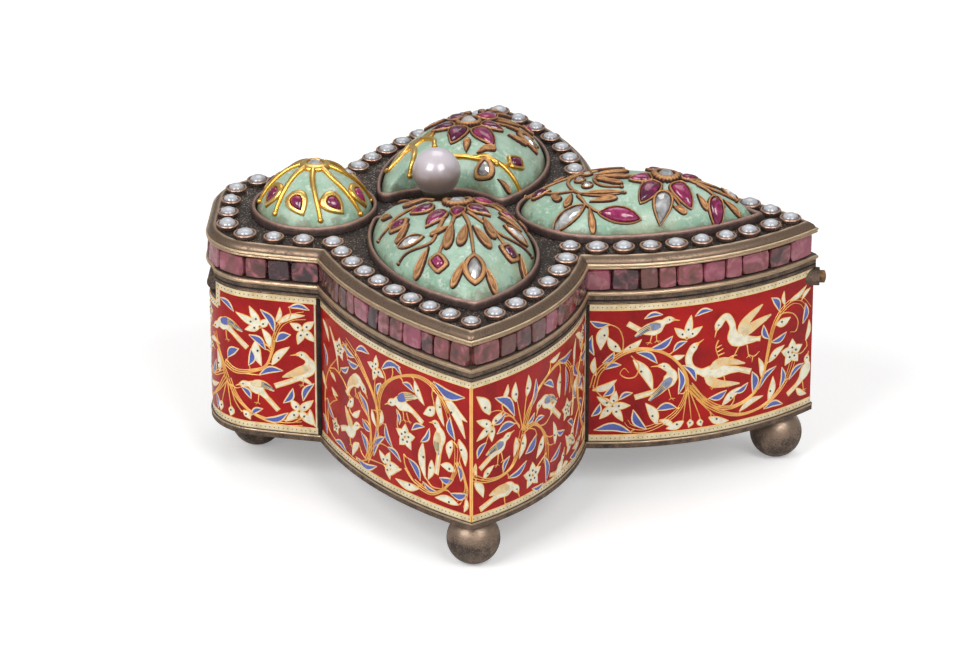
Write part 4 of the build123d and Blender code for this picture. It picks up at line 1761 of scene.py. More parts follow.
    def gather(self, tone: Tone, shell: Shell, stride: float = 1.5) -> None:
        """Add the shapes of one enamel to a shell, each a thin closed slab on the curved wall.

        Args:
            tone: The enamel.
            shell: What they are added to.
            stride: Length between the cuts that let a slab bend.
        """
        if not self.layers[tone]:
            return
        work = bmesh.new()
        for number, outline in enumerate(self.layers[tone]):
            lift = tone.value + self.STEP * (number % 4)
            work.faces.new([work.verts.new((s, z, lift)) for s, z in outline])
        cut = stride
        while cut < self.walk.length:
            everything = work.verts[:] + work.edges[:] + work.faces[:]
            bmesh.ops.bisect_plane(work, geom=everything, plane_co=(cut, 0, 0), plane_no=(1, 0, 0))
            cut += stride
        made = bmesh.ops.extrude_face_region(work, geom=work.faces[:], use_keep_orig=True)
        for item in made["geom"]:
            if isinstance(item, bmesh.types.BMVert):
                item.co.z = self.SINK
        bmesh.ops.recalc_face_normals(work, faces=work.faces)
        # the cuts leave corners and faces in no fixed order
        corners = sorted(work.verts, key=lambda corner: corner.co[:])
        for number, corner in enumerate(corners):
            corner.index = number
        faces = sorted(tuple(corner.index for corner in face.verts) for face in work.faces)
        shell.add(self.mapped(np.array([corner.co for corner in corners])), faces)
        work.free()

    def stems(self, paths: Sequence[np.ndarray]) -> list[np.ndarray]:
        """Lay stems on the wall.

        Args:
            paths: Length and height of each stem's points.

        Returns:
            The stems in space.
        """
        found = []
        for path in paths:
            s = np.clip(path[:, 0], self.MARGIN, self.walk.length - self.MARGIN)
            z = np.clip(path[:, 1], self.STEM_LOW, self.STEM_HIGH)
            found.append(self.mapped(np.column_stack([s, z, np.full(len(path), self.STEM_LIFT)])))
        return found


Sprig = tuple[float, float, float, float, float]


@dataclass(frozen=True)
class Panel:
    """Layout of one run of wall: lengths from its start and heights, in millimetres.

    Attributes:
        vines: Thick stems.
        tendrils: Thin stems.
        leaves: Base, tip and width of each blue leaf.
        petals: The same of each cream leaf.
        buds: The same of each cream bud with a black spot.
        flowers: Centre and petal tips of each star flower.
        rosettes: Centre and radius of each round flower.
        birds: The birds.
        twigs: Thin stems that carry no leaves.
    """

    vines: tuple[Path, ...]
    tendrils: tuple[Path, ...]
    leaves: tuple[Sprig, ...]
    petals: tuple[Sprig, ...]
    buds: tuple[Sprig, ...]
    flowers: tuple[tuple[Point, Path], ...]
    rosettes: tuple[tuple[Point, float], ...]
    birds: tuple[Bird, ...]
    twigs: tuple[Path, ...] = ()

    def lay_out(self, inlay: Inlay) -> None:
        """Lay every motif.

        Args:
            inlay: The run of wall.
        """
        inlay.vines += [stem(path) for path in self.vines]
        inlay.tendrils += [stem(path) for path in self.tendrils]
        inlay.stem_count = len(inlay.tendrils)
        for x, z, *_ in (*self.leaves, *self.petals, *self.buds):
            inlay.stalk((x, z))
        slim, leaf_bow, petal_bow, bud_bow = 0.966, 0.14, 0.1, 0.08
        for path, width in self.bent(self.leaves, leaf_bow):
            inlay.leaf(path, width * slim)
        for path, width in self.bent(self.petals, petal_bow):
            inlay.petal(path, width)
        for path, width in self.bent(self.buds, bud_bow):
            inlay.petal(path, width, dot=True)
        for centre, tips in self.flowers:
            inlay.flower(centre, tips)
        for centre, radius in self.rosettes:
            inlay.rosette(centre, radius)
        for bird in self.birds:
            inlay.bird(bird)
        inlay.tendrils += [smooth(path, 7) for path in self.twigs]

    def bent(self, sprigs: Sequence[Sprig], bow: float) -> list[tuple[Path, float]]:
        """Middle line and width of each sprig; they bow to one side and the other by turns."""
        return [(bowed((x0, z0), (x1, z1), bow if number % 2 else -bow), width)
                for number, (x0, z0, x1, z1, width) in enumerate(sprigs)]


WING_HEAD = Panel(
    vines=(((21, 15.5), (24, 21), (25, 27), (23.5, 31), (21, 34), (17.5, 37), (13, 38.8)),
           ((21, 15.5), (22.5, 20), (22, 25), (20, 27), (18, 29.5)),
           ((25, 27.5), (25.5, 31.5), (28, 35.5), (32.5, 38.5), (37.5, 40), (41.5, 39), (44.5, 36),
            (46, 33)),
           ((36, 16.3), (40.5, 15.5), (44, 17.5), (46.5, 21.5), (47.3, 25), (47.5, 29)),
           ((47.3, 24.5), (49, 21.5), (49.5, 18.5), (48, 15.2))),
    tendrils=(((24.5, 28), (24, 32.5), (24.3, 36)), ((21, 15.5), (17, 13.9), (12, 14.2)),
              ((21, 16), (25, 16.6), (27.5, 16.8)), ((33, 21.5), (33.5, 19), (35.8, 16.6)),
              ((33.3, 18.5), (35.5, 16.6), (38, 16)), ((39, 18.5), (41, 17), (44, 17.5)),
              ((41, 38.5), (43.5, 37), (45, 34.5)), ((41.5, 39), (41, 37.5), (41.5, 35.5)),
              ((14, 38.5), (12, 37.6), (10.5, 36.3)), ((8.5, 14.3), (5, 15.4), (3, 18), (2.6, 21)),
              ((9, 24), (6, 22), (4.2, 19.6), (4.4, 16.6)), ((31.5, 30.5), (31.2, 27), (33, 25.5)),
              ((2.6, 21), (3.2, 25.5), (5.4, 29.6), (8.8, 33), (10.4, 36)),
              ((5.4, 29.6), (8.6, 30.6), (12.4, 29.4), (14.6, 26.4), (14, 22.6))),
    leaves=((17, 14.5, 24.3, 15.4, 1.1), (19, 21, 21, 17.5, 1.1), (27, 23, 23.5, 17.7, 1.1),
            (24.5, 24.5, 24, 21.5, 0.7), (12, 38, 16.5, 36.6, 1.0), (17.5, 38.7, 22, 39.6, 1.0),
            (14, 35, 18, 35.3, 1.1), (26.5, 38, 32, 40.3, 1.2), (26, 34.5, 24.8, 31.8, 0.8),
            (18.5, 29.5, 21.8, 25.5, 1.0), (19.6, 24, 22.5, 22.6, 1.1), (8, 14.4, 13, 13.9, 1.0),
            (41.5, 40.2, 49, 39, 1.8), (33, 37.2, 36, 36.3, 0.9), (45.5, 33.5, 46.7, 29.3, 1.4),
            (34.5, 21, 37.6, 17.4, 1.4), (38.7, 29.5, 35.5, 27.8, 0.9), (31, 30.5, 31.8, 27.8, 0.7),
            (43, 19.6, 46.2, 20.2, 1.3), (47.4, 24, 48.2, 20.7, 1.0), (45.8, 17, 49.6, 18, 1.3),
            (40.2, 29.5, 38, 26, 0.9), (38.5, 17.2, 42, 16.2, 0.7), (29.3, 40.3, 32.4, 38.9, 0.8),
            (27.5, 26, 29.5, 21.8, 1.1), (28.2, 21.2, 32, 19.6, 0.9), (4, 22, 7.4, 19, 1.0),
            (2.4, 33.5, 4, 29.8, 0.9), (10.8, 31.8, 14.2, 33.4, 0.9), (1.6, 17.5, 3.4, 14, 0.8)),
    petals=((23, 27.5, 24.5, 24.3, 0.9), (26.3, 28.5, 25.5, 25, 0.9), (18, 18, 15.5, 14.4, 1.4),
            (6, 28.7, 8.3, 27.9, 0.8), (6.5, 25.6, 9.2, 25, 0.8), (5.8, 38.9, 9.8, 31, 0.6),
            (45.5, 37.5, 49.6, 34, 1.3), (49.5, 17, 49, 14, 0.7), (15.6, 23.4, 18.6, 25.6, 1.0),
            (2.2, 39, 5.2, 35.6, 1.0), (1.4, 27, 3.6, 24.2, 0.9), (28.6, 15.2, 32.2, 17.8, 1.0)),
    buds=((36.3, 38.6, 38.8, 34.4, 1.3), (41.6, 34.7, 38.8, 32.4, 1.7), (42.5, 37.5, 44, 31.5, 1.2),
          (44, 37.8, 49.2, 30.3, 1.5), (46, 28.7, 45.3, 24.8, 1.4), (47.8, 29.4, 49.3, 24.3, 1.4),
          (38.4, 25.6, 39, 18.3, 1.6), (40.8, 22.7, 39.9, 18.4, 1.3), (46.7, 22.3, 43.3, 22.6, 1.6),
          (37.2, 15.4, 30.6, 15.1, 1.5), (47.4, 15.1, 41.8, 14.9, 1.4), (16, 27.2, 13.6, 24.6, 1.3)),
    flowers=(((24.5, 37.2), ((24.6, 40), (21.8, 37.6), (27, 36.2), (23.6, 34.6))),
             ((27.6, 17.2), ((28.7, 20.2), (31.3, 18), (28.7, 14.4), (25.4, 19.4)))),
    rosettes=(((10.4, 36), 2.3), ((33.5, 25.5), 2.7), ((8.2, 17.8), 1.7)),
    birds=(Bird(((21.6, 29.4), (20.2, 31.0), (18.6, 32.0), (16.6, 31.4), (14.9, 29.6), (13.4, 27.4)), 2.7,
                (((18.0, 32.0), (15.8, 31.2), (13.8, 29.2)),), Tone.CREAM, (((17.0, 30), (17.2, 28.4)),)),
           Bird(((19.9, 22.2), (17.6, 21.9), (16.0, 20.3), (14.2, 19.2), (12.6, 19.2), (10.8, 18.4)), 2.7,
                (((15.4, 20.6), (14.2, 22.0), (12.8, 24.2)),), Tone.CREAM,
                (((14.6, 18.2), (14.9, 16.6)),)),
           Bird(((27.3, 30.4), (29.3, 31.6), (31, 32.3), (33, 32.3), (35.5, 31.9), (38.3, 30.3)), 2.7,
                (((31.4, 33), (34, 34.6), (37.2, 35.4)),),
                legs=(((33, 31), (33.2, 29.2)), ((34, 31), (34.6, 29.4)))),
           Bird(((40.2, 31), (41.8, 31.3), (42.9, 29.9), (43, 28), (42.8, 25.4), (42, 20.3)), 2.5,
                (((42.6, 29.4), (42.2, 27), (42.4, 24.6)),), Tone.GREY)),
)

WING_TAIL = Panel(
    vines=(((0.5, 21.8), (3.4, 20.4), (7, 20), (10, 21), (11.6, 23), (12.6, 25.5), (13.5, 28)),
           ((13.5, 28), (15.5, 32), (17.8, 34.8), (21.5, 37), (25.8, 38), (29.8, 36.4), (32.4, 33),
            (32, 29)),
           ((13.6, 28), (17, 28.2), (20, 25.4), (21.5, 21.6), (21, 18)),
           ((42.5, 16), (39.5, 19), (37.2, 23.4), (36, 28.6), (36.4, 33.6))),
    tendrils=(((13.5, 28), (12.5, 32), (11.6, 36)), ((13.5, 28), (14, 32), (14.7, 36.4)),
              ((12.5, 29), (10.5, 32), (7, 34.6), (4.5, 35)),
              ((12.5, 29.4), (10, 32.4), (7.6, 32.8), (5, 32.4)), ((13.8, 28.4), (17, 27), (18, 25.2)),
              ((21.2, 20), (18.6, 18.6), (16.5, 17.2)), ((36, 28.6), (33.2, 27), (30.6, 26)),
              ((37.2, 23.4), (34.4, 21.4), (32.6, 18.4)), ((38.6, 20), (41, 22.6), (42.2, 26)),
              ((36.2, 31.6), (39, 34.6), (40.6, 37.6))),
    leaves=((11, 32.3, 6, 37.6, 1.7), (8.5, 33.6, 5.5, 32, 0.9), (11, 30.4, 6.5, 29.8, 1.5),
            (17.5, 25.3, 14.5, 22.6, 1.7), (15.6, 32, 17.6, 37.6, 1.1), (20.5, 35.6, 23.8, 33.6, 1.1),
            (26, 38.4, 32, 38.2, 1.2), (20.6, 19.4, 21.2, 13.8, 1.2), (9.5, 19, 14.5, 20.8, 1.1),
            (8, 21, 9.6, 23.6, 0.8), (15, 29, 17, 30.4, 0.7), (17, 28.2, 20.2, 28.6, 0.7),
            (3.5, 28.6, 1.5, 26, 1.1), (27, 19.6, 23, 17.4, 1.0), (25.4, 23, 28.6, 21.9, 0.9),
            (29.2, 35.4, 29, 29.8, 0.9), (33.5, 29.5, 35.2, 26.3, 1.0), (20, 13.7, 16.6, 13.9, 0.8),
            (36.4, 28, 40.2, 29, 1.3), (36.8, 25, 40, 21.4, 1.1), (39.2, 19.4, 42.6, 19.4, 1.1),
            (36.2, 31, 33.4, 34.8, 1.2), (38, 34, 42.4, 33.4, 1.3), (40.6, 37, 43, 39.6, 1.0),
            (33.4, 20.6, 30.6, 23, 1.0), (37.8, 21.6, 35.2, 17.6, 1.1), (32, 14.2, 36.4, 14.6, 1.2)),
    petals=((8, 36.7, 9.2, 39.4, 0.9), (11.5, 27, 10.9, 23.4, 1.1), (1, 24.6, 1.2, 22, 0.6),
            (0.8, 20.6, 2.8, 17, 1.4), (30.5, 17.3, 29.4, 20.3, 0.8), (34, 34.6, 34.8, 39.4, 1.0),
            (22.6, 39.6, 26.4, 40, 0.9), (41.4, 28, 43.2, 23.6, 1.1), (37.4, 38.4, 34.8, 40.4, 0.9),
            (40.6, 14.2, 43, 17, 1.1), (30.4, 14, 27.8, 13.8, 0.8), (22.8, 27.8, 25.4, 30.4, 0.9)),
    buds=((4.4, 34.7, 1.4, 39.2, 1.9), (11.5, 35.2, 11.3, 39.2, 1.5), (14.6, 35.2, 15.2, 39.4, 1.3),
          (20, 24.2, 17.9, 20.3, 1.5), (26.6, 35.4, 26.4, 30.3, 1.3), (14, 27, 12.5, 22.3, 1.3),
          (24.6, 20.8, 24, 25.6, 1.2), (3, 21, 5.4, 23, 1.1), (37.4, 31, 40.6, 25.4, 1.5),
          (38.6, 16, 33.4, 15.6, 1.4), (38.6, 35.6, 37, 40, 1.3), (42.4, 35, 41.6, 30.6, 1.3)),
    flowers=(((5, 32), ((1.4, 34), (1.4, 29.7), (5, 28.6), (7.6, 34))),
             ((32.4, 18.2), ((30, 16), (34.6, 16.6), (33.6, 21), (30.2, 19.6)))),
    rosettes=(((16.5, 17), 2.7), ((30, 26), 2.3), ((40.2, 38.4), 1.7)),
    birds=(Bird(((11, 29), (9.2, 28.4), (7.9, 27.5), (6.5, 26.3), (4.8, 25.2), (2.2, 23.4)), 2.5,
                (((8, 27.2), (5.8, 26.8), (3.6, 26)),), Tone.GREY,
                (((6.6, 25.2), (6.4, 23)), ((7.4, 25.4), (7.8, 23.4)))),
           Bird(((12.5, 13.7), (11.7, 15.7), (10.2, 16.7), (8, 16.5), (5.5, 15.7), (2.2, 14.4)), 2.7,
                (((9.6, 16.8), (7, 17.2), (4.4, 16.8)),), Tone.CREAM, (((8.2, 15.2), (8.4, 13.6)),)),
           Bird(((17.7, 29.6), (18.5, 31.6), (20, 32.1), (21.6, 31), (23.3, 29.1), (26.6, 25.9)), 2.5,
                (((20.4, 31.8), (23, 31.4), (25, 29.8)),), Tone.GREY),
           Bird(((28.9, 18), (28.2, 16.5), (27.4, 15.2), (26.3, 14.2), (25, 13.9), (22.8, 14.4)), 1.9),
           Bird(((37.8, 29.6), (36.4, 30.6), (35, 30), (34, 28.6), (33.2, 26.4), (32.6, 23.6)), 1.9)),
)

TAIL = Panel(
    vines=(((1.5, 24), (2.5, 27.5), (5.3, 30.3), (8, 32), (11.5, 32.6), (15.5, 31.6), (18.5, 29.3),
            (20.5, 26.3), (21, 23), (20, 19.5), (18, 17), (14.5, 15), (11.5, 14.3), (9, 15), (8, 16.2)),
           ((21.5, 23.5), (24.5, 19.8), (28.5, 17.2), (32.5, 17), (36.5, 19), (38.5, 22.5), (39.6, 27.5),
            (40.6, 32), (42.5, 35.2), (45.5, 37), (48.5, 36.2), (50.6, 33.6)),
           ((21.5, 23), (26, 18), (31.5, 15), (36.5, 14.8), (41, 16.4), (44, 19), (45.8, 22), (46.6, 25))),
    tendrils=(((7.5, 32.5), (7.5, 35), (6.6, 37.3), (4.6, 38.4)),
              ((9.2, 31.2), (10.8, 29), (10.2, 26.6), (8.4, 26.2), (7, 27.2), (7.8, 28.4), (8.8, 27.4)),
              ((21, 23), (20.2, 15.6)), ((21.2, 22.6), (22, 15.6)), ((21.6, 22), (24, 15.6)),
              ((23, 20.2), (27.6, 15)),
              ((41, 33), (43, 35), (46, 34.2), (47.5, 32), (47, 30), (45.4, 30.2)),
              ((5.5, 20.4), (3, 22.4), (1.4, 24.6)), ((46, 25.4), (48.6, 24.4), (50.6, 25.6))),
    leaves=((13.3, 32.5, 17.6, 34.8, 1.3), (10.5, 31.8, 14.5, 29.3, 1.2), (19.2, 21.9, 19.1, 27.5, 1.1),
            (20.2, 28, 22.8, 24.4, 1.0), (18.6, 18.8, 14.6, 18.6, 1.4), (12.4, 14.6, 9.8, 18.8, 1.5),
            (9.3, 13.9, 2, 14.6, 1.6), (4.4, 38.4, 1, 38.9, 1.1), (3.6, 29.8, 5.7, 31.9, 1.0),
            (4, 28.4, 7, 29.2, 0.9), (3.8, 22.3, 5.7, 24.8, 1.1), (7, 21.5, 9.4, 22.8, 0.8),
            (1.4, 17.8, 3, 20.4, 1.0), (18, 31.6, 20.6, 33.4, 0.9), (42.2, 36, 40.3, 39.2, 1.3),
            (39.7, 30.3, 38.3, 33.5, 1.1), (40.5, 29.3, 44.2, 30.4, 1.1), (49.6, 35.2, 49, 31.2, 1.2),
            (36, 19.3, 35.8, 23.6, 1.5), (37.5, 19.6, 41.6, 23.4, 1.0), (43, 18.3, 43.4, 22.6, 1.0),
            (45.5, 19.5, 49.4, 21.8, 1.0), (26, 19.8, 29.6, 20.8, 1.3), (39, 14.6, 43.6, 14.4, 1.1),
            (31.6, 20, 34.6, 21.4, 1.0), (22.6, 38.9, 26, 39.6, 0.9), (1.2, 35.6, 1.6, 31.6, 0.9),
            (12, 39.4, 15.4, 40, 0.8)),
    petals=((1.6, 23.6, 6.2, 25.8, 1.2), (2, 27, 1.8, 30.8, 0.9), (17.5, 30.2, 20.2, 30.3, 0.9),
            (43.6, 37, 43.4, 39.8, 0.6), (45.2, 37.4, 49.6, 39.3, 0.9), (48.6, 36.8, 50.8, 38.4, 0.7),
            (38, 22.2, 37.3, 26.4, 0.9), (33, 15.6, 38.4, 17.6, 1.1), (50, 27, 50.8, 31.2, 0.9),
            (15.4, 16.2, 18.4, 14.2, 1.0), (47.6, 16.6, 50.4, 14.6, 1.0)),
    buds=((4.2, 37.8, 3, 32.8, 2.0), (7, 32.2, 4.4, 35.4, 1.5), (7.6, 32.2, 11.2, 34.6, 1.2),
          (9.8, 30.2, 13.7, 23.3, 1.8), (14.6, 15.6, 12.4, 20.2, 1.7), (20.2, 15.4, 16.8, 14.2, 1.4),
          (41.6, 33, 45.2, 33.5, 1.6), (40, 25, 43.7, 27.6, 1.4), (40, 16.4, 41, 21.2, 1.4),
          (29, 17.8, 33.6, 20.9, 1.4), (26, 15.4, 30.2, 13.9, 1.4), (21.8, 15.5, 21.5, 14.0, 1.1),
          (23.9, 15.3, 24.2, 13.9, 1.1)),
    flowers=(((5.5, 20), ((6.2, 23.2), (2.5, 22), (9, 20), (3, 17.2), (7.6, 16.6))),
             ((20.7, 34.2), ((18.2, 36.6), (21.6, 39.0), (23.9, 36.2)))),
    rosettes=(((46, 25.4), 2.9),),
    birds=(Bird(((19.2, 38.3), (17, 38.7), (15.2, 37.9), (13.5, 36.7), (11.5, 36.6), (8.6, 38.3)), 2.6,
                (((15.2, 37.6), (12.6, 37.2), (10, 35.6)),), Tone.GREY,
                (((13.4, 35.6), (13, 34)), ((14.3, 35.8), (14.4, 34.2)))),
           Bird(((13.3, 28.5), (16, 28.4), (17.5, 26.7), (17, 24.7), (15, 23.1), (10.2, 21.8)), 2.6,
                (((17.6, 25.6), (15.6, 23.4), (13, 21)),), Tone.GREY, (((17, 23.2), (17.6, 21)),)),
           Bird(((26.8, 33.4), (27.6, 36.0), (29.3, 37.6), (30.7, 35.6), (31.2, 32.6), (34.0, 31.4),
                 (37.4, 30.9)),
                3.0,
                (((33.2, 32.8), (36.2, 34.3), (40.0, 35.6)), ((32.3, 33.4), (34.4, 36.0), (37.8, 38.4))),
                Tone.CREAM, (((32.4, 30.4), (31.0, 27.9)), ((34.3, 30.2), (34.7, 27.6))), chest=3.7,
                span=2.9),
           Bird(((24.4, 33.4), (22.3, 31.9), (21.2, 29.6), (22.0, 27.2), (24.6, 25.9), (28.0, 25.6),
                 (32.0, 25.2), (35.2, 24.0)),
                2.9,
                (((25.0, 24.8), (27.4, 22.9), (32.6, 21.9)), ((26.0, 26.6), (29.0, 27.6), (33.8, 26.2))),
                Tone.CREAM, (((27.4, 24.4), (26.8, 22.2)), ((29.0, 24.4), (29.6, 22.0))), chest=4.1,
                span=2.7),
           Bird(((50.9, 24.2), (50.4, 22.8), (50.5, 21.2), (49.6, 19.4), (47.9, 17.7), (45.2, 16.1)), 2.6,
                legs=(((49.2, 18.0), (49.6, 15.8)),))),
    twigs=(((27.7, 32.6), (27.1, 31.2), (27.4, 29.8), (28.3, 27.4)), ((27.2, 30.9), (28.5, 31.4)),
           ((27.3, 29.9), (28.8, 30.5)), ((27.6, 29.1), (29.1, 29.5)),
           ((32.0, 28.4), (31.0, 28.4), (29.4, 27.9)), ((31.2, 28.4), (30.3, 27.2)),
           ((34.7, 27.9), (36.1, 27.2), (37.4, 28.0)), ((35.8, 27.3), (35.6, 26.0))),
)

HEAD = Panel(
    vines=(((16.5, 22), (15, 26), (13.5, 28.7), (12.3, 31)),
           ((16, 25.6), (19, 24.4), (22.5, 25), (25.5, 26.4), (27, 30), (27.5, 33), (29, 36.3),
            (31.5, 38), (34, 38.6)),
           ((17, 22), (19, 18.6), (22, 15.8), (25.5, 14.3), (29.5, 14), (33, 14.6)),
           ((16.2, 22), (13.4, 18.4), (9.4, 15.4), (4.6, 14.6), (0.6, 14.8)),
           ((15.6, 23.6), (11.6, 21.4), (7.2, 22), (3.8, 25.4), (3, 30), (4.4, 34))),
    tendrils=(((21, 24.2), (24.5, 24.2)), ((16.5, 22), (17.5, 15.4)), ((16.4, 21.4), (14.6, 15.8)),
              ((17.3, 21), (18.6, 17.4), (20.2, 15.2)), ((3.4, 27.4), (6.4, 29.4), (8.6, 28)),
              ((7.4, 22), (6, 19.4), (3.6, 18.4)), ((4, 32.4), (1.8, 34.8), (0.8, 36.6))),
    leaves=((27.5, 34.5, 24.8, 38.9, 1.3), (28, 32.3, 30.8, 34, 1.5), (25.5, 30.3, 22.3, 33, 1.3),
            (24.3, 24.4, 29, 25.8, 1.2), (22, 26.3, 22.5, 29.8, 1.2), (17, 27, 19.6, 29.4, 1.5),
            (25, 14.4, 30, 16.2, 1.2), (22.3, 15, 24.6, 16.6, 0.9), (29.3, 18.6, 31.2, 21.8, 1.1),
            (20.3, 21, 22.2, 18.8, 1.0), (10, 20.8, 12.6, 24.6, 1.2), (5, 24.4, 8.8, 25.4, 1.2),
            (3, 29.6, 0.9, 25.6, 1.1), (4.2, 33, 7.6, 35.8, 1.2), (9.6, 16, 6.4, 18.6, 1.2),
            (12.2, 17.2, 13, 13.9, 0.9), (4.6, 15, 1.4, 17.8, 1.0), (33.4, 19.6, 35.6, 23.4, 1.1),
            (18.6, 37.8, 15, 39.6, 1.0), (30.8, 40.2, 34.8, 40, 0.9), (2.2, 21.6, 4.8, 19.8, 0.9)),
    petals=((26.5, 31, 25, 34.7, 1.2), (28.5, 36.5, 33.8, 38.6, 1.0), (28, 36.8, 28.8, 39.8, 0.7),
            (10, 28.6, 14.3, 29, 0.8), (8.2, 18.6, 13.6, 19.8, 0.9), (6.8, 30.2, 10, 32.4, 1.0),
            (0.9, 20, 1.2, 23.8, 0.8), (31.4, 24.6, 35.4, 23.2, 0.8), (34.8, 17.4, 35.8, 13.9, 0.9)),
    buds=((23.5, 31.7, 24.6, 26.5, 1.7), (27, 27, 30.6, 31.2, 1.3), (14, 22.6, 13.4, 27.4, 1.2),
          (17.5, 15.8, 17.3, 13.8, 1.3), (14.7, 16, 14.2, 13.9, 1.3), (20.6, 15.6, 22, 14, 1.2),
          (3.4, 27.6, 7.8, 27.6, 1.4), (9.8, 22, 6.8, 20.4, 1.3), (1.6, 35.2, 4.4, 37, 1.2)),
    flowers=(((24.5, 35.2), ((19.4, 37.6), (22.4, 39.4), (21.4, 34.2), (26.4, 37))),
             ((33.5, 35.4), ((35.8, 37.4), (32.5, 32.2), (36, 33), (31, 36.6))),
             ((32.5, 17), ((30.8, 19.4), (35.4, 19.6), (29.6, 14.4), (35.2, 14.2)))),
    rosettes=(((9.4, 34.6), 2.0), ((3, 22.4), 1.7)),
    birds=(Bird(((10.9, 31.7), (12.9, 32.7), (14.5, 33.7), (16.2, 34), (18.2, 33), (21.6, 30.2)), 2.5,
                (((15, 34.4), (17.6, 35), (20.6, 33.6)),), legs=(((16.6, 32.8), (16.8, 31)),)),
           Bird(((30.8, 29.4), (33.2, 29.8), (34.8, 28.2), (34.4, 26.2), (32, 24.2), (27.6, 22.2)), 2.5,
                (((34.8, 27.2), (32.2, 25.8), (29.2, 24.4)),), Tone.CREAM, (((33.6, 24.8), (33.4, 23)),)),
           Bird(((18.8, 21), (20.6, 21.8), (22.3, 21.8), (24, 20.9), (25.6, 19.4), (28, 16.8)), 2.3,
                (((22.4, 22.2), (25, 22.2), (27.2, 21)),), Tone.GREY, (((24, 19.8), (23.8, 18)),)),
           Bird(((12.4, 27), (10.6, 27.4), (9.2, 26.6), (7.9, 24.8), (6, 23.6), (3.6, 23.6)), 2.0)),
)


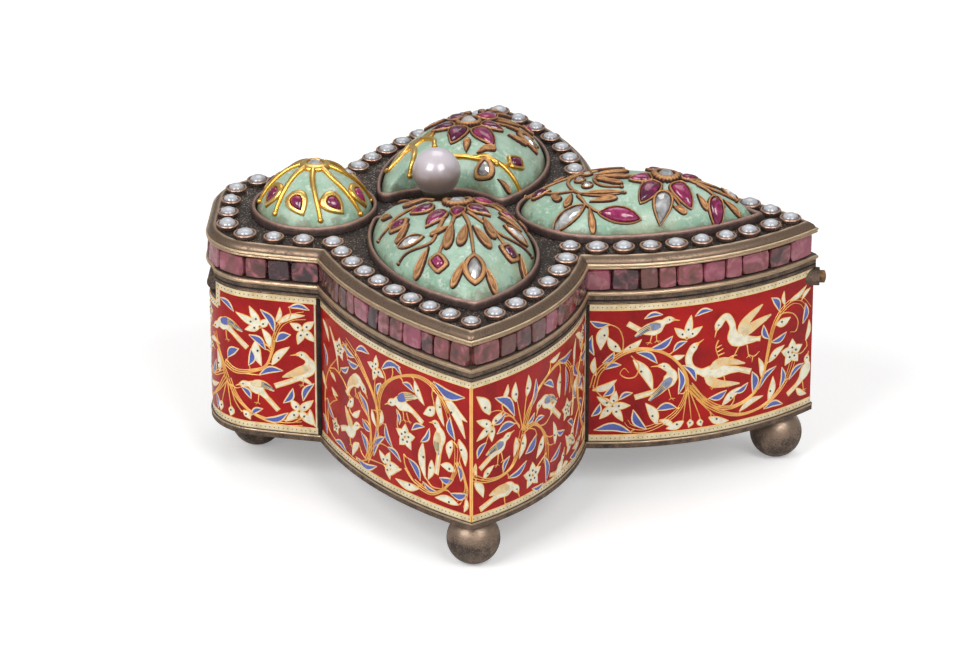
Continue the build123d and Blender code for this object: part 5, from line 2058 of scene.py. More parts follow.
@dataclass
class EnamelWork:
    """Birds, flowers and scrolls on every wall, with their borders.

    Attributes:
        plan: Plan of the box.
        palette: Its materials.
        scroll_r: Radius of each line of a scroll.
        tendril_r: Radius of a tendril.
        fan: Spread of a scroll's lines at its end.
        ground_inset: Face of the red ground from the edge of the plan.
        low: Lower edge of the enamel.
        high: Upper edge of the enamel.
        strip_w: Width of a cream border.
        line_w: Width of a line at a corner of the walls.
        bead_pitch: From one black dot of a border to the next.
        bead_r: Radius of a dot.
        gap: Between a border and the hinge notch.
        valley_gap: From the strip at a valley to the end of its run.
        valley_w: Width of that strip.
        tip_gap: From the line at a wing's tip to the end of its run.
    """

    plan: BoxPlan
    palette: Palette
    scroll_r: float = 0.135
    tendril_r: float = 0.15
    fan: float = 0.72
    ground_inset: float = 0.3
    low: float = 12.1
    high: float = 42.7
    strip_w: float = 1.25
    line_w: float = 0.3
    bead_pitch: float = 0.95
    bead_r: float = 0.11
    gap: float = 0.3
    valley_gap: float = 1.05
    valley_w: float = 0.34
    tip_gap: float = 0.15

    def build(self) -> None:
        """Lay every motif and border."""
        chain = self.plan.chain()
        panels = {Run.HEAD: HEAD, Run.WING_HEAD: WING_HEAD, Run.WING_TAIL: WING_TAIL, Run.TAIL: TAIL}
        inlays: list[Inlay] = []
        for back in (False, True):
            for run, panel in panels.items():
                inlay = Inlay(Walk(chain, run, self.ground_inset, back))
                panel.lay_out(inlay)
                self.borders(inlay, run)
                inlays.append(inlay)
        own = self.palette
        finishes = {Tone.GOLD: own.wire, Tone.CREAM: own.cream, Tone.STRIP: own.strip, Tone.EDGE: own.wire,
                    Tone.DOWN: own.strip, Tone.BLUE: own.blue, Tone.GREY: own.grey, Tone.LINE: own.wire,
                    Tone.BLACK: own.black}
        for tone, finish in finishes.items():
            shell = Shell()
            for inlay in inlays:
                inlay.gather(tone, shell)
            piece = shell.piece(f"enamel_{tone.name.lower()}", [finish], crease=30, outward=False)
            seat(piece, "body", "red_enamel")
        self.stems("gold_scrolls", self.scroll_r, [
            path for inlay in inlays
            for path in inlay.stems([line for vine in inlay.vines for line in self.fanned(vine)])])
        self.stems("gold_tendrils", self.tendril_r, [
            path for inlay in inlays for path in inlay.stems(inlay.tendrils)])

    def borders(self, inlay: Inlay, run: Run) -> None:
        """The cream strips along a run, which go round the hinge notch, and the lines at its corners.

        Args:
            inlay: What they are laid on.
            run: The run.
        """
        end, half = inlay.walk.length, self.strip_w / 2
        foot, top = self.low + half, self.high - half
        bars = [((0.0, foot), (end, foot))]
        if run is Run.HEAD:
            ys = np.abs(inlay.walk.points[:, 1])
            turn = float(np.interp(NOTCH_HALF, ys, inlay.walk.lengths)) + half + self.gap
            sill = NOTCH_FLOOR - half - self.gap
            bars += [((0.0, sill), (turn, sill)), ((turn, sill), (turn, self.high)),
                     ((turn, top), (end, top))]
        else:
            bars.append(((0.0, top), (end, top)))
        for a, b in bars:
            self.bar(inlay, Tone.GOLD, a, b, self.strip_w + self.line_w)
            self.bar(inlay, Tone.STRIP, a, b, self.strip_w)
            count = max(2, round(math.dist(a, b) / self.bead_pitch))
            for i in range(count):
                t = (i + 0.5) / count
                spot = (a[0] + (b[0] - a[0]) * t, a[1] + (b[1] - a[1]) * t)
                inlay.lay(Tone.BLACK, disc(spot, self.bead_r, 5))
        if run in (Run.HEAD, Run.WING_TAIL):
            valley = end - self.valley_gap
            self.bar(inlay, Tone.STRIP, (valley, self.low), (valley, self.high), self.valley_w)
        if run in (Run.WING_HEAD, Run.WING_TAIL):
            tip = end - self.tip_gap if run is Run.WING_HEAD else self.tip_gap
            self.bar(inlay, Tone.LINE, (tip, self.low), (tip, self.high - self.strip_w), self.line_w)

    def bar(self, inlay: Inlay, tone: Tone, first: Point, last: Point, width: float) -> None:
        """One straight strip.

        Args:
            inlay: What it is laid on.
            tone: Its enamel.
            first: Start of its middle line.
            last: End of its middle line.
            width: Its width.
        """
        half = width / 2
        if first[0] == last[0]:
            corners = [(first[0] - half, first[1]), (first[0] + half, first[1]),
                       (last[0] + half, last[1]), (last[0] - half, last[1])]
        else:
            corners = [(first[0], first[1] - half), (last[0], last[1] - half),
                       (last[0], last[1] + half), (first[0], first[1] + half)]
        inlay.lay(tone, np.array(corners), 0.0)

    def fanned(self, path: np.ndarray) -> list[np.ndarray]:
        """The lines of one scroll.

        Args:
            path: Its stem.

        Returns:
            Three lines that meet at a knot and spread on both sides of it.
        """
        ahead = headings(path)
        side = np.column_stack([-ahead[:, 1], ahead[:, 0]])
        knot = 0.42
        spread = 0.15 + self.fan * (np.abs(np.linspace(0, 1, len(path)) - knot) / (1 - knot)) ** 1.2
        return [path + side * (k * spread)[:, None] for k in (-1, 0, 1)]

    def stems(self, name: str, radius: float, paths: Sequence[np.ndarray]) -> None:
        """Gold wires that thin out towards their ends.

        Args:
            name: Name of the piece.
            radius: Radius of a wire.
            paths: Their middle lines.
        """
        recipe = Recipe(name)
        wire = recipe.tube(radius, 6, From_Min=0.55, From_Max=1.0, To_Min=1.0, To_Max=0.45)
        seat(recipe.bake(lines(name, paths), name, wire, self.palette.wire, 80), "body", "silver_gilt")


# ------------------------------------------------------------------ lid
@dataclass
class LidEdge:
    """The lid's edge and top: band, stones, cavetto and the line of pearls.

    Attributes:
        plan: Plan of the box.
        palette: Its materials.
        gem_z: Lower edge of the stones.
        gem_h: Height of the stones.
        gem_inset: Middle of the stones from the edge of the plan.
        gem_gap: Between two stones.
        border_z: Foot of the cavetto.
        pearl_inset: Line of pearls from the edge of the plan.
        pearl_r: Radius of a pearl.
        gem_counts: Stones on each run: the whole head, the wing's two sides, the tail's side.
        pearl_counts: Pearls on the same runs.
    """

    plan: BoxPlan
    palette: Palette
    gem_z: float = 45.8
    gem_h: float = 4.8
    gem_inset: float = 0.95
    gem_gap: float = 0.12
    border_z: float = 51.6
    pearl_inset: float = 4.0
    pearl_r: float = 1.85
    gem_counts: tuple[int, ...] = (13, 13, 9, 10)
    pearl_counts: tuple[int, ...] = (11, 9, 7, 9)

    def build(self) -> None:
        """Make every piece of the lid's edge."""
        chain = self.plan.chain()
        self.moulding(chain)
        self.wires(chain)
        self.stones(chain)
        places = self.pearl_spots(chain)
        rng = random.Random(3)
        turns = [(rng.uniform(-0.12, 0.12), rng.uniform(-0.12, 0.12), rng.uniform(0, 6.28)) for _ in places]
        sizes = [(s := rng.uniform(0.92, 1.04), s * rng.uniform(0.95, 1.05), rng.uniform(0.62, 0.78))
                 for _ in places]
        self.pearls(places, turns, sizes)
        self.collets(places, [(0.0, 0.0, spin) for *_, spin in turns], [(x, y, 1.0) for x, y, _ in sizes])
        dress(self.palette.band, "lid_band")
        dress(self.palette.inside, "lid_liner")

    def moulding(self, chain: Chain) -> None:
        """The top plate with its hollow moulding and crest.

        Args:
            chain: Arcs of the plan.
        """
        section = [(0.2, 0.0, 0.1), (0.22, 0.2, 0.3), (0.34, 0.5, 0.35), (0.55, 0.8, 0.3), (0.86, 1.08, 0.3),
                   (1.2, 1.3, 0.45), (1.42, 1.44, 0.8), (1.6, 1.53, 1.0), (1.8, 1.5, 0.8), (1.95, 1.4, 0.2),
                   (2.1, 1.36, 0.0)]
        shell = Shell()
        shell.swept(chain, [(inset, self.border_z + rise, worn) for inset, rise, worn in section])
        shell.marks = [0] * (len(shell.faces) - 1) + [1]
        piece = shell.piece("lid_top", [self.palette.silver, self.palette.plate], crease=60)
        seat(piece, "lid", "tarnished_silver", ["lid_plate"])

    def wires(self, chain: Chain) -> None:
        """Twin gilt wires over the stones, and a bead under them that climbs over the hinge.

        Args:
            chain: Arcs of the plan.
        """
        shell = Shell()
        sizes = ((0.1, 50.85, 0.26, 0.0), (0.04, 51.4, 0.3, 0.0), (0.12, 45.2, 0.5, 0.7))
        for inset, z, radius, climb in sizes:
            first = len(shell.points)
            shell.swept(chain, round_bead(inset, z, radius), closed=True)
            for number in range(first, len(shell.points)):
                x, y, height = shell.points[number]
                if x < NOTCH_X and abs(y) < NOTCH_HALF:
                    shell.points[number] = (x, y, height + climb)
        seat(shell.piece("lid_wires", [self.palette.rim]), "lid", "silver_gilt")

    def runs(self, chain: Chain, inset: float) -> list[tuple[np.ndarray, int]]:
        """The runs of the lid's edge.

        Args:
            chain: Arcs of the plan.
            inset: How far it is drawn in.

        Returns:
            Each run, front and back, with its number in the counts.
        """
        fine = Chain(chain.arcs, 0.25)
        counts, half = np.cumsum([0, *fine.counts()]), fine.half(inset)
        found = [(np.vstack([(half[:counts[3] + 1] * MIRROR)[::-1], half[1:counts[3] + 1]]), 0)]
        for number, arc in ((1, 3), (2, 4), (3, 5)):
            stretch = half[counts[arc]:counts[arc + 1] + 1]
            found += [(stretch, number), ((stretch * MIRROR)[::-1], number)]
        return found

    def stones(self, chain: Chain) -> None:
        """The row of cushion-shaped stones, no two of one width.

        Args:
            chain: Arcs of the plan.
        """
        rng = random.Random(7)
        edge, reach = 0.25, 0.5
        places, turns, sizes = [], [], []
        for line, number in self.runs(chain, self.gem_inset):
            steps = lengths_along(line)
            shares = [rng.uniform(0.72, 1.35) for _ in range(self.gem_counts[number])]
            along = edge
            for share in shares:
                width = (steps[-1] - 2 * edge) * share / sum(shares)
                middle = along + width / 2
                (x0, y0), spot, (x1, y1) = (
                    along_line(middle + away, steps, line) for away in (-reach, 0, reach))
                places.append((*spot, self.gem_z + self.gem_h / 2 + rng.uniform(-0.08, 0.08)))
                turns.append((rng.uniform(-0.1, 0.1), rng.uniform(-0.05, 0.05),
                              math.atan2(y1 - y0, x1 - x0)))
                sizes.append((width - self.gem_gap, rng.uniform(1.6, 2.0),
                              self.gem_h - rng.uniform(0.0, 0.25)))
                along += width
        recipe = Recipe("cushion_stones")
        cushion = recipe.node("GeometryNodeSubdivisionSurface", {
            "Mesh": recipe.node("GeometryNodeMeshCube", {"Size": (MM, MM, MM)}), "Level": 2,
            "Edge Crease": recipe.size("Edge crease", 0.42)})
        tint = recipe.node("FunctionNodeRandomValue", {"Seed": 4}, 1, data_type="FLOAT")
        tinted = recipe.node("GeometryNodeStoreNamedAttribute", {
            "Geometry": recipe.spread(cushion), "Name": "wear", "Value": tint},
            data_type="FLOAT", domain="INSTANCE")
        points = spots("stones", places, turns, sizes)
        piece = recipe.bake(points, "band_stones", tinted, self.palette.garnet, 30, False)
        seat(piece, "lid", "garnet", ["gems_head", "gems_front", "gems_tail", "gems_back"])

    def pearl_spots(self, chain: Chain) -> list[Point]:
        """Where the pearls stand.

        Args:
            chain: Arcs of the plan.

        Returns:
            One place at each valley and tip, and the rest even between them.
        """
        spaced: list[Point] = []
        for line, number in self.runs(chain, self.pearl_inset):
            steps, count, head = lengths_along(line), self.pearl_counts[number], number == 0
            spaced += [along_line(steps[-1] * i / count, steps, line)
                       for i in range(0 if head else 1, count + 1 if head else count)]
            if number in (1, 2):
                spaced.append(tuple(line[-1] if line[-1][1] < 0 else line[0]))
        spaced.append(tuple(chain.half(self.pearl_inset)[-1]))
        found: list[Point] = []
        for spot in spaced:
            if all(math.dist(spot, other) > 1.0 for other in found):
                found.append((float(spot[0]), float(spot[1])))
        return found

    def pearls(self, places: Sequence[Point], turns: Sequence[Triple], sizes: Sequence[Triple]) -> None:
        """The half pearls.

        Args:
            places: Where they stand.
            turns: How each is turned.
            sizes: How large each is.
        """
        small, rise = 0.91, 0.62
        recipe = Recipe("half_pearls")
        pearls = recipe.spread(recipe.ball("Radius", self.pearl_r * small, 18, 12))
        points = spots("pearls", [(x, y, PLATE_Z + rise) for x, y in places], turns, sizes)
        piece = recipe.bake(points, "half_pearls", pearls, self.palette.half_pearl)
        seat(piece, "lid", "half_pearl", ["border_pearls"])

    def collets(self, places: Sequence[Point], turns: Sequence[Triple], sizes: Sequence[Triple]) -> None:
        """The cup and lip round each pearl.

        Args:
            places: Where they stand.
            turns: How each is turned.
            sizes: How large each is.
        """
        depth, sides, rise = 0.72 * MM, 20, 0.68
        lip, wire, upper, lower = 0.22, 0.24, 0.3, 0.05
        recipe = Recipe("pearl_collets")
        hoop = recipe.node("GeometryNodeCurveToMesh", {
            "Curve": recipe.circle("Lip", self.pearl_r + lip, sides),
            "Profile Curve": recipe.circle("Wire", wire, 6)})
        cup = recipe.node("GeometryNodeMeshCone", {
            "Vertices": sides, "Radius Top": (self.pearl_r + upper) * MM,
            "Radius Bottom": (self.pearl_r + lower) * MM, "Depth": depth})
        sunk = recipe.node("GeometryNodeTransform", {"Geometry": cup, "Translation": (0, 0, -depth)})
        both = recipe.node("GeometryNodeJoinGeometry", {"Geometry": [hoop, sunk]})
        points = spots("collets", [(x, y, PLATE_Z + rise) for x, y in places], turns, sizes)
        piece = recipe.bake(points, "pearl_collets", recipe.spread(both), self.palette.collet, 50)
        seat(piece, "lid", "tarnished_silver")


# ------------------------------------------------------------------ domes
class Lobe(Enum):
    """The four lobes of the plan."""

    HEAD = "head"
    FRONT = "front"
    TAIL = "tail"
    BACK = "back"


@dataclass(frozen=True)
class RoundPlan:
    """The rim of the head dome.

    Attributes:
        centre: Its centre.
        radius: Its radius.
        samples: Samples round it.
    """

    centre: Point = (-41.8, 0.0)
    radius: float = 13.0
    samples: int = 96

    def loop(self, inset: float = 0.0) -> np.ndarray:
        """Samples anticlockwise."""
        ring = Arc(self.centre, self.radius, 0.0, 2 * math.pi)
        return np.array([ring.at(2 * math.pi * i / self.samples, inset) for i in range(self.samples)])


@dataclass(frozen=True)
class DropPlan:
    """The rim of the tail dome, a drop with its point at the tail.

    Attributes:
        nose: Its blunt end.
        nose_r: Radius there.
        nose_turn: Turn of the blunt end's arc, in degrees.
        wide: Where it is widest.
        tip: Its point.
    """

    nose: Point = (-0.7, 0.0)
    nose_r: float = 11.0
    nose_turn: float = 40.0
    wide: Point = (17.2, -13.8)
    tip: Point = (50.2, 0.0)

    def loop(self, inset: float = 0.0) -> np.ndarray:
        """The rim.

        Args:
            inset: How far it is drawn in.

        Returns:
            Samples anticlockwise.
        """
        turn = math.radians(self.nose_turn)
        nose = Arc((self.nose[0] + self.nose_r, 0.0), self.nose_r, math.pi, math.pi + turn)
        shoulder = Arc.leaving(nose.at(nose.end), turn - math.pi / 2, self.wide)
        flank = Arc.leaving(self.wide, shoulder.end + math.pi / 2, self.tip)
        return Chain((nose, shoulder, flank), 1.2).loop(inset)


@dataclass(frozen=True)
class LeafPlan:
    """The rim of a wing's dome: a leaf whose root is notched round the centre pearl.

    Attributes:
        tip: Point of the leaf.
        tail_cusp: Corner of the notch on the tail's side, before it is rounded.
        head_cusp: Corner on the head's side.
        tail_bulge: Rise of the side towards the tail.
        head_bulge: Rise of the side towards the head.
        notch: Centre of the notch.
        notch_r: Radius of the notch.
        cusp_r: Radius of the rounded corners.
        back: Mirror it to the back wing.
    """

    tip: Point = (-6.2, -47.2)
    tail_cusp: Point = (-4.0, -3.0)
    head_cusp: Point = (-28.5, -2.5)
    tail_bulge: float = 10.7
    head_bulge: float = 9.8
    notch: Point = (-16.2, 6.2)
    notch_r: float = 15.4
    cusp_r: float = 2.2
    back: bool = False

    def loop(self, inset: float = 0.0) -> np.ndarray:
        """The rim.

        Args:
            inset: How far it is drawn in.

        Returns:
            Samples round it, from the tip.
        """
        one = Arc.bulged(self.tip, self.tail_cusp, self.tail_bulge)
        two = Arc.bulged(self.head_cusp, self.tip, self.head_bulge)
        one_r, two_r = one.radius - inset, two.radius - inset
        reach, small = self.notch_r + self.cusp_r, self.cusp_r - inset
        first = crossing(one.centre, one.radius - self.cusp_r, self.notch, reach, self.tail_cusp)
        last = crossing(two.centre, two.radius - self.cusp_r, self.notch, reach, self.head_cusp)
        tip = crossing(one.centre, one_r, two.centre, two_r, self.tip)
        side, cusp, hollow = 44, 8, 26
        points: list[Point] = []
        for (x, y), radius, (start, turn), count in (
                (one.centre, one_r, self.sweep(one.centre, tip, first), side),
                (first, small, self.fillet(first, one.centre, self.notch), cusp),
                (self.notch, self.notch_r + inset, self.sweep(self.notch, first, last), hollow),
                (last, small, self.fillet(last, self.notch, two.centre), cusp),
                (two.centre, two_r, self.sweep(two.centre, last, tip), side)):
            turns = [start + turn * i / count for i in range(count)]
            points += [(x + radius * math.cos(t), y + radius * math.sin(t)) for t in turns]
        found = np.array(points)
        return (found * MIRROR)[::-1] if self.back else found

    def sweep(self, centre: Point, begin: Point, end: Point) -> tuple[float, float]:
        """Start and turn of the shorter arc about a centre from one direction to another."""
        start, stop = (math.atan2(spot[1] - centre[1], spot[0] - centre[0]) for spot in (begin, end))
        return start, turned(stop - start)

    def fillet(self, centre: Point, first: Point, last: Point) -> tuple[float, float]:
        """A rounded corner between two circles; the notch touches it from outside.

        Args:
            centre: Centre of the corner.
            first: Centre of the circle before it.
            last: Centre of the circle after it.

        Returns:
            Its start and turn.
        """
        starts = []
        for other in (first, last):
            sign = 1 if other == self.notch else -1
            starts.append(math.atan2(sign * (other[1] - centre[1]), sign * (other[0] - centre[0])))
        return starts[0], (starts[1] - starts[0]) % (2 * math.pi)


@dataclass
class Dome:
    """A jade dome in its bezel.

    Attributes:
        lobe: The lobe it stands on.
        rim: Plan of its bezel.
        palette: The box's materials.
        top: Its highest point in plan.
        height: Rise above the plate.
        rim_w: Width of the bezel.
        gap: Between dome and bezel.
        swell: How soon the dome rises from its foot; 1 is an ellipse, more is nearer to a cone.
        levels: Loops from the foot to the top.
        slope: Where the last loop lies on the rise, in degrees; the top itself is at 90.
        skin: The dome's surface, once it is built.
    """

    lobe: Lobe
    rim: RoundPlan | DropPlan | LeafPlan
    palette: Palette
    top: Point
    height: float = 10.4
    rim_w: float = 1.0
    gap: float = 0.05
    swell: float = 1.2
    levels: int = 30
    slope: float = 88.5
    skin: BVHTree | None = None

    def build(self) -> None:
        """Make the dome; each loop is eased once more than the one below it."""
        soft = self.rim.loop(self.rim_w + self.gap)
        top, loops = np.array(self.top), []
        for i in range(self.levels):
            turn = math.radians(self.slope) * i / (self.levels - 1)
            flat = top + (soft - top) * math.cos(turn)
            loops.append(level(flat, PLATE_Z + self.height * math.sin(turn) ** self.swell))
            soft = soft * 0.5 + (np.roll(soft, 1, axis=0) + np.roll(soft, -1, axis=0)) * 0.25
        shell = Shell()
        shell.rings(loops)
        piece = shell.piece(f"jade_{self.lobe.value}", [self.palette.jade], crease=50)
        self.skin = BVHTree.FromPolygons([Vector(p) for p in shell.points], shell.faces)
        seat(piece, "lid", "jade", [f"dome_{self.lobe.value}"])

    def bezel(self, shell: Shell) -> None:
        """Add the rounded collar round the dome's foot.

        Args:
            shell: What it is added to.
        """
        section = [(-0.04, 0.0, 0.1), (0.0, 0.7, 0.2), (0.1, 1.25, 0.5), (0.32, 1.68, 0.95),
                   (0.6, 1.76, 1.0), (0.88, 1.5, 0.6), (1.0, 1.1, 0.1), (1.02, 0.0, 0.0)]
        loops = [level(self.rim.loop(inset), PLATE_Z + rise) for inset, rise, _ in section]
        shell.rings(loops, closed=True, wear=[worn for *_, worn in section])

    def press(self, near: Vector) -> tuple[Vector, Vector]:
        """The point of the dome nearest to a point, and the direction out of the dome there."""
        spot, normal, _, _ = self.skin.find_nearest(near)
        return spot, normal if normal.z > 0 else -normal

    def lift(self, x: float, y: float, above: float = 0.0) -> Vector:
        """The point over a place in the plan.

        Args:
            x: Place along the box.
            y: Place across it.
            above: Height over the dome's surface, square to it.

        Returns:
            The point, which is on the plate where there is no dome.
        """
        hit, normal, _, _ = self.skin.ray_cast(Vector((x, y, 90.0)), Vector((0, 0, -1)))
        if hit is None:
            return Vector((x, y, PLATE_Z + above))
        return hit + (normal if normal.z > 0 else -normal) * above


# ------------------------------------------------------------------ gold work on the domes
class Cut(Enum):
    """Outlines of stones and leaves, by how their width rises from the root and falls to the tip."""

    ROUND = (0.5, 0.5)
    DROP = (0.5, 1.0)
    BUD = (1.0, 0.5)
    LEAF = (0.85, 0.85)
    SQUARE = (0.16, 0.16)
    HEART = (0.3, 0.75)

    def share(self, along: float) -> float:
        """Width of the outline.

        Args:
            along: Share of the length.

        Returns:
            The width there, over the greatest width.
        """
        rise, fall = self.value
        peak = rise / (rise + fall)
        along = min(max(along, 0.0), 1.0)
        return (along / peak) ** rise * ((1 - along) / (1 - peak)) ** fall


class Fill(Enum):
    """What a setting holds; the solid leaves hold nothing."""

    RUBY = "rubies"
    DIAMOND = "diamonds"
    LEAF = "leaves"


@dataclass(frozen=True)
class Setting:
    """A stone in its collet, or a solid leaf.

    Attributes:
        path: From its root to its tip, in plan.
        width: Greatest width of the stone.
        cut: Outline.
        fill: What it holds.
        rim: Width of metal round the stone.
        height: Rise of the metal over the jade.
        milled: Notch the edge of the collet.
        length: True length; none keeps the root and tip where they are.
    """

    path: tuple[Point, ...]
    width: float
    cut: Cut = Cut.DROP
    fill: Fill = Fill.RUBY
    rim: float = 0.5
    height: float = 0.75
    milled: bool = False
    length: float = 0.0


def row(fill: Fill, cut: Cut, *sizes: tuple[float, ...], **others: float) -> tuple[Setting, ...]:
    """Settings of one kind, each given by its root, its tip and its width."""
    return tuple(Setting(((x0, y0), (x1, y1)), width, cut, fill, **others)
                 for x0, y0, x1, y1, width in sizes)


@dataclass(frozen=True)
class Spray:
    """The gold work of one dome.

    Attributes:
        settings: Its stones and leaves.
        stems: Its twigs, in plan.
        bright: Twigs of bright gold.
        bright_settings: Stones and leaves in bright gold.
    """

    settings: tuple[Setting, ...] = ()
    stems: tuple[Path, ...] = ()
    bright: tuple[Path, ...] = ()
    bright_settings: tuple[Setting, ...] = ()


def head_spray(centre: Point = (-41.6, 0.4)) -> Spray:
    """Eight curved ribs from a diamond at the crown, with a ruby pod between each two.

    Args:
        centre: The crown, in plan.

    Returns:
        The gold work of the head dome.
    """
    def at(radius: float, turn: float) -> Point:
        """A place round the crown."""
        angle = math.radians(turn)
        return centre[0] + radius * math.cos(angle), centre[1] + radius * math.sin(angle)

    ribs, pods = [], []
    for number, sway in enumerate((14, 17, 18, 12, 15, 10, 13, 8)):
        turn = -94 + 45 * number
        ribs.append(tuple(at(radius, turn + sway * share)
                          for radius, share in ((2.6, 0.0), (5.5, 0.25), (8.6, 0.7), (11.3, 1.0))))
    for turn, lean in ((-107, 52), (-62, 50), (-17, -10), (-150, 8), (28, 46), (73, -14), (118, 50),
                       (163, 12)):
        x, y = at(9.5, turn)
        dx, dy = math.cos(math.radians(turn + lean)), math.sin(math.radians(turn + lean))
        pods.append((x - dx, y - dy, x + dx, y + dy, 2.45))
    crown = Setting(((centre[0] - 1.5, centre[1] - 0.2), (centre[0] + 1.5, centre[1] + 0.2)),
    2.9, Cut.ROUND,
                    Fill.DIAMOND, rim=1.7, height=0.75)
    return Spray(bright=tuple(ribs), bright_settings=(
        crown, *row(Fill.RUBY, Cut.DROP, *pods, rim=1.15, height=0.6, length=3.5)))


FRONT_SPRAY = Spray(
    settings=(
        Setting(((-13.2, -18.8), (-9.4, -17.2)),
                3.4, Cut.ROUND, Fill.DIAMOND, rim=1.15, height=1.2, milled=True),
        *row(Fill.RUBY, Cut.DROP, (-13.9, -22.6, -16.9, -26.9, 3.2), (-16.2, -19.7, -20.3, -20.0, 3.1),
             (-8.0, -16.3, -4.4, -15.2, 3.0), (-8.7, -20.3, -4.9, -22.7, 3.2),
             (-10.0, -13.6, -8.4, -9.8, 3.0),
             (-14.2, -14.6, -16.8, -11.4, 3.0), (-10.9, -21.6, -11.3, -25.2, 2.3)),
        *row(Fill.DIAMOND, Cut.LEAF, (-22.2, -28.6, -17.6, -29.6, 2.2), (-1.6, -24.4, 2.6, -25.1, 2.1),
             (-20.2, -11.4, -23.6, -9.6, 2.0)),
        Setting(((-6.95, -37.5), (-6.55, -42.1)), 2.5, Cut.LEAF, Fill.DIAMOND, rim=1.2, height=0.8),
        *row(Fill.RUBY, Cut.SQUARE, (-23.9, -21.6, -21.7, -22.5, 1.9), (-14.6, -36.2, -13.3, -38.2, 1.9),
             (-1.3, -31.2, 0.5, -32.8, 1.9), rim=0.85, length=2.9),
        *row(Fill.RUBY, Cut.DROP, (-2.6, -18.2, -0.4, -19.8, 1.9), (0.6, -13.2, 2.4, -11.6, 1.8)),
        *row(Fill.LEAF, Cut.BUD, (-11.8, -27.2, -12.5, -34.8, 2.0), (-9.0, -28.2, -9.9, -34.6, 1.9),
             (-7.8, -28.4, -4.0, -33.8, 1.9), (-6.0, -24.2, -3.4, -30.6, 1.9),
             (-12.2, -28.6, -16.0, -30.0, 1.3),
             (-8.6, -38.4, -10.9, -42.6, 1.6), (-5.0, -38.8, -2.6, -42.2, 1.6),
             (-16.0, -33.0, -18.4, -37.4, 1.8),
             (-20.6, -23.6, -22.8, -27.4, 1.8), (-3.0, -21.6, 1.4, -21.8, 1.5),
             (-24.6, -16.6, -26.6, -13.6, 1.5), (-17.8, -15.6, -22.4, -15.0, 1.5),
             (-4.4, -12.4, -1.8, -8.8, 1.5),
             (1.4, -30.4, 2.6, -34.0, 1.5))),
    stems=(((-13.4, -24), (-14.6, -29), (-16, -32), (-20.6, -31.4), (-22.2, -31.9)),
           ((-19.6, -17.4), (-24, -18.6), (-25.2, -20.2), (-27, -21)),
           ((-10, -23.4), (-8.4, -28.4), (-7.1, -36.6)), ((-9, -23), (-5.2, -26.6), (-1.4, -28.2),
           (3.8, -26.2)),
           ((-6.4, -17.4), (-3.4, -16.4), (0.6, -20.4)), ((-11.4, -23.4), (-12.2, -29), (-14.2, -36)),
           ((-4.6, -27.4), (-2.4, -29.4), (-0.8, -31.4)), ((-16.2, -16.2), (-19.2, -13.4),
           (-20.6, -10.2)),
           ((-7.4, -14.4), (-3.4, -12.6), (1.0, -12.8)), ((-11.6, -14.0), (-12.6, -10.6), (-14.4, -8.6))))

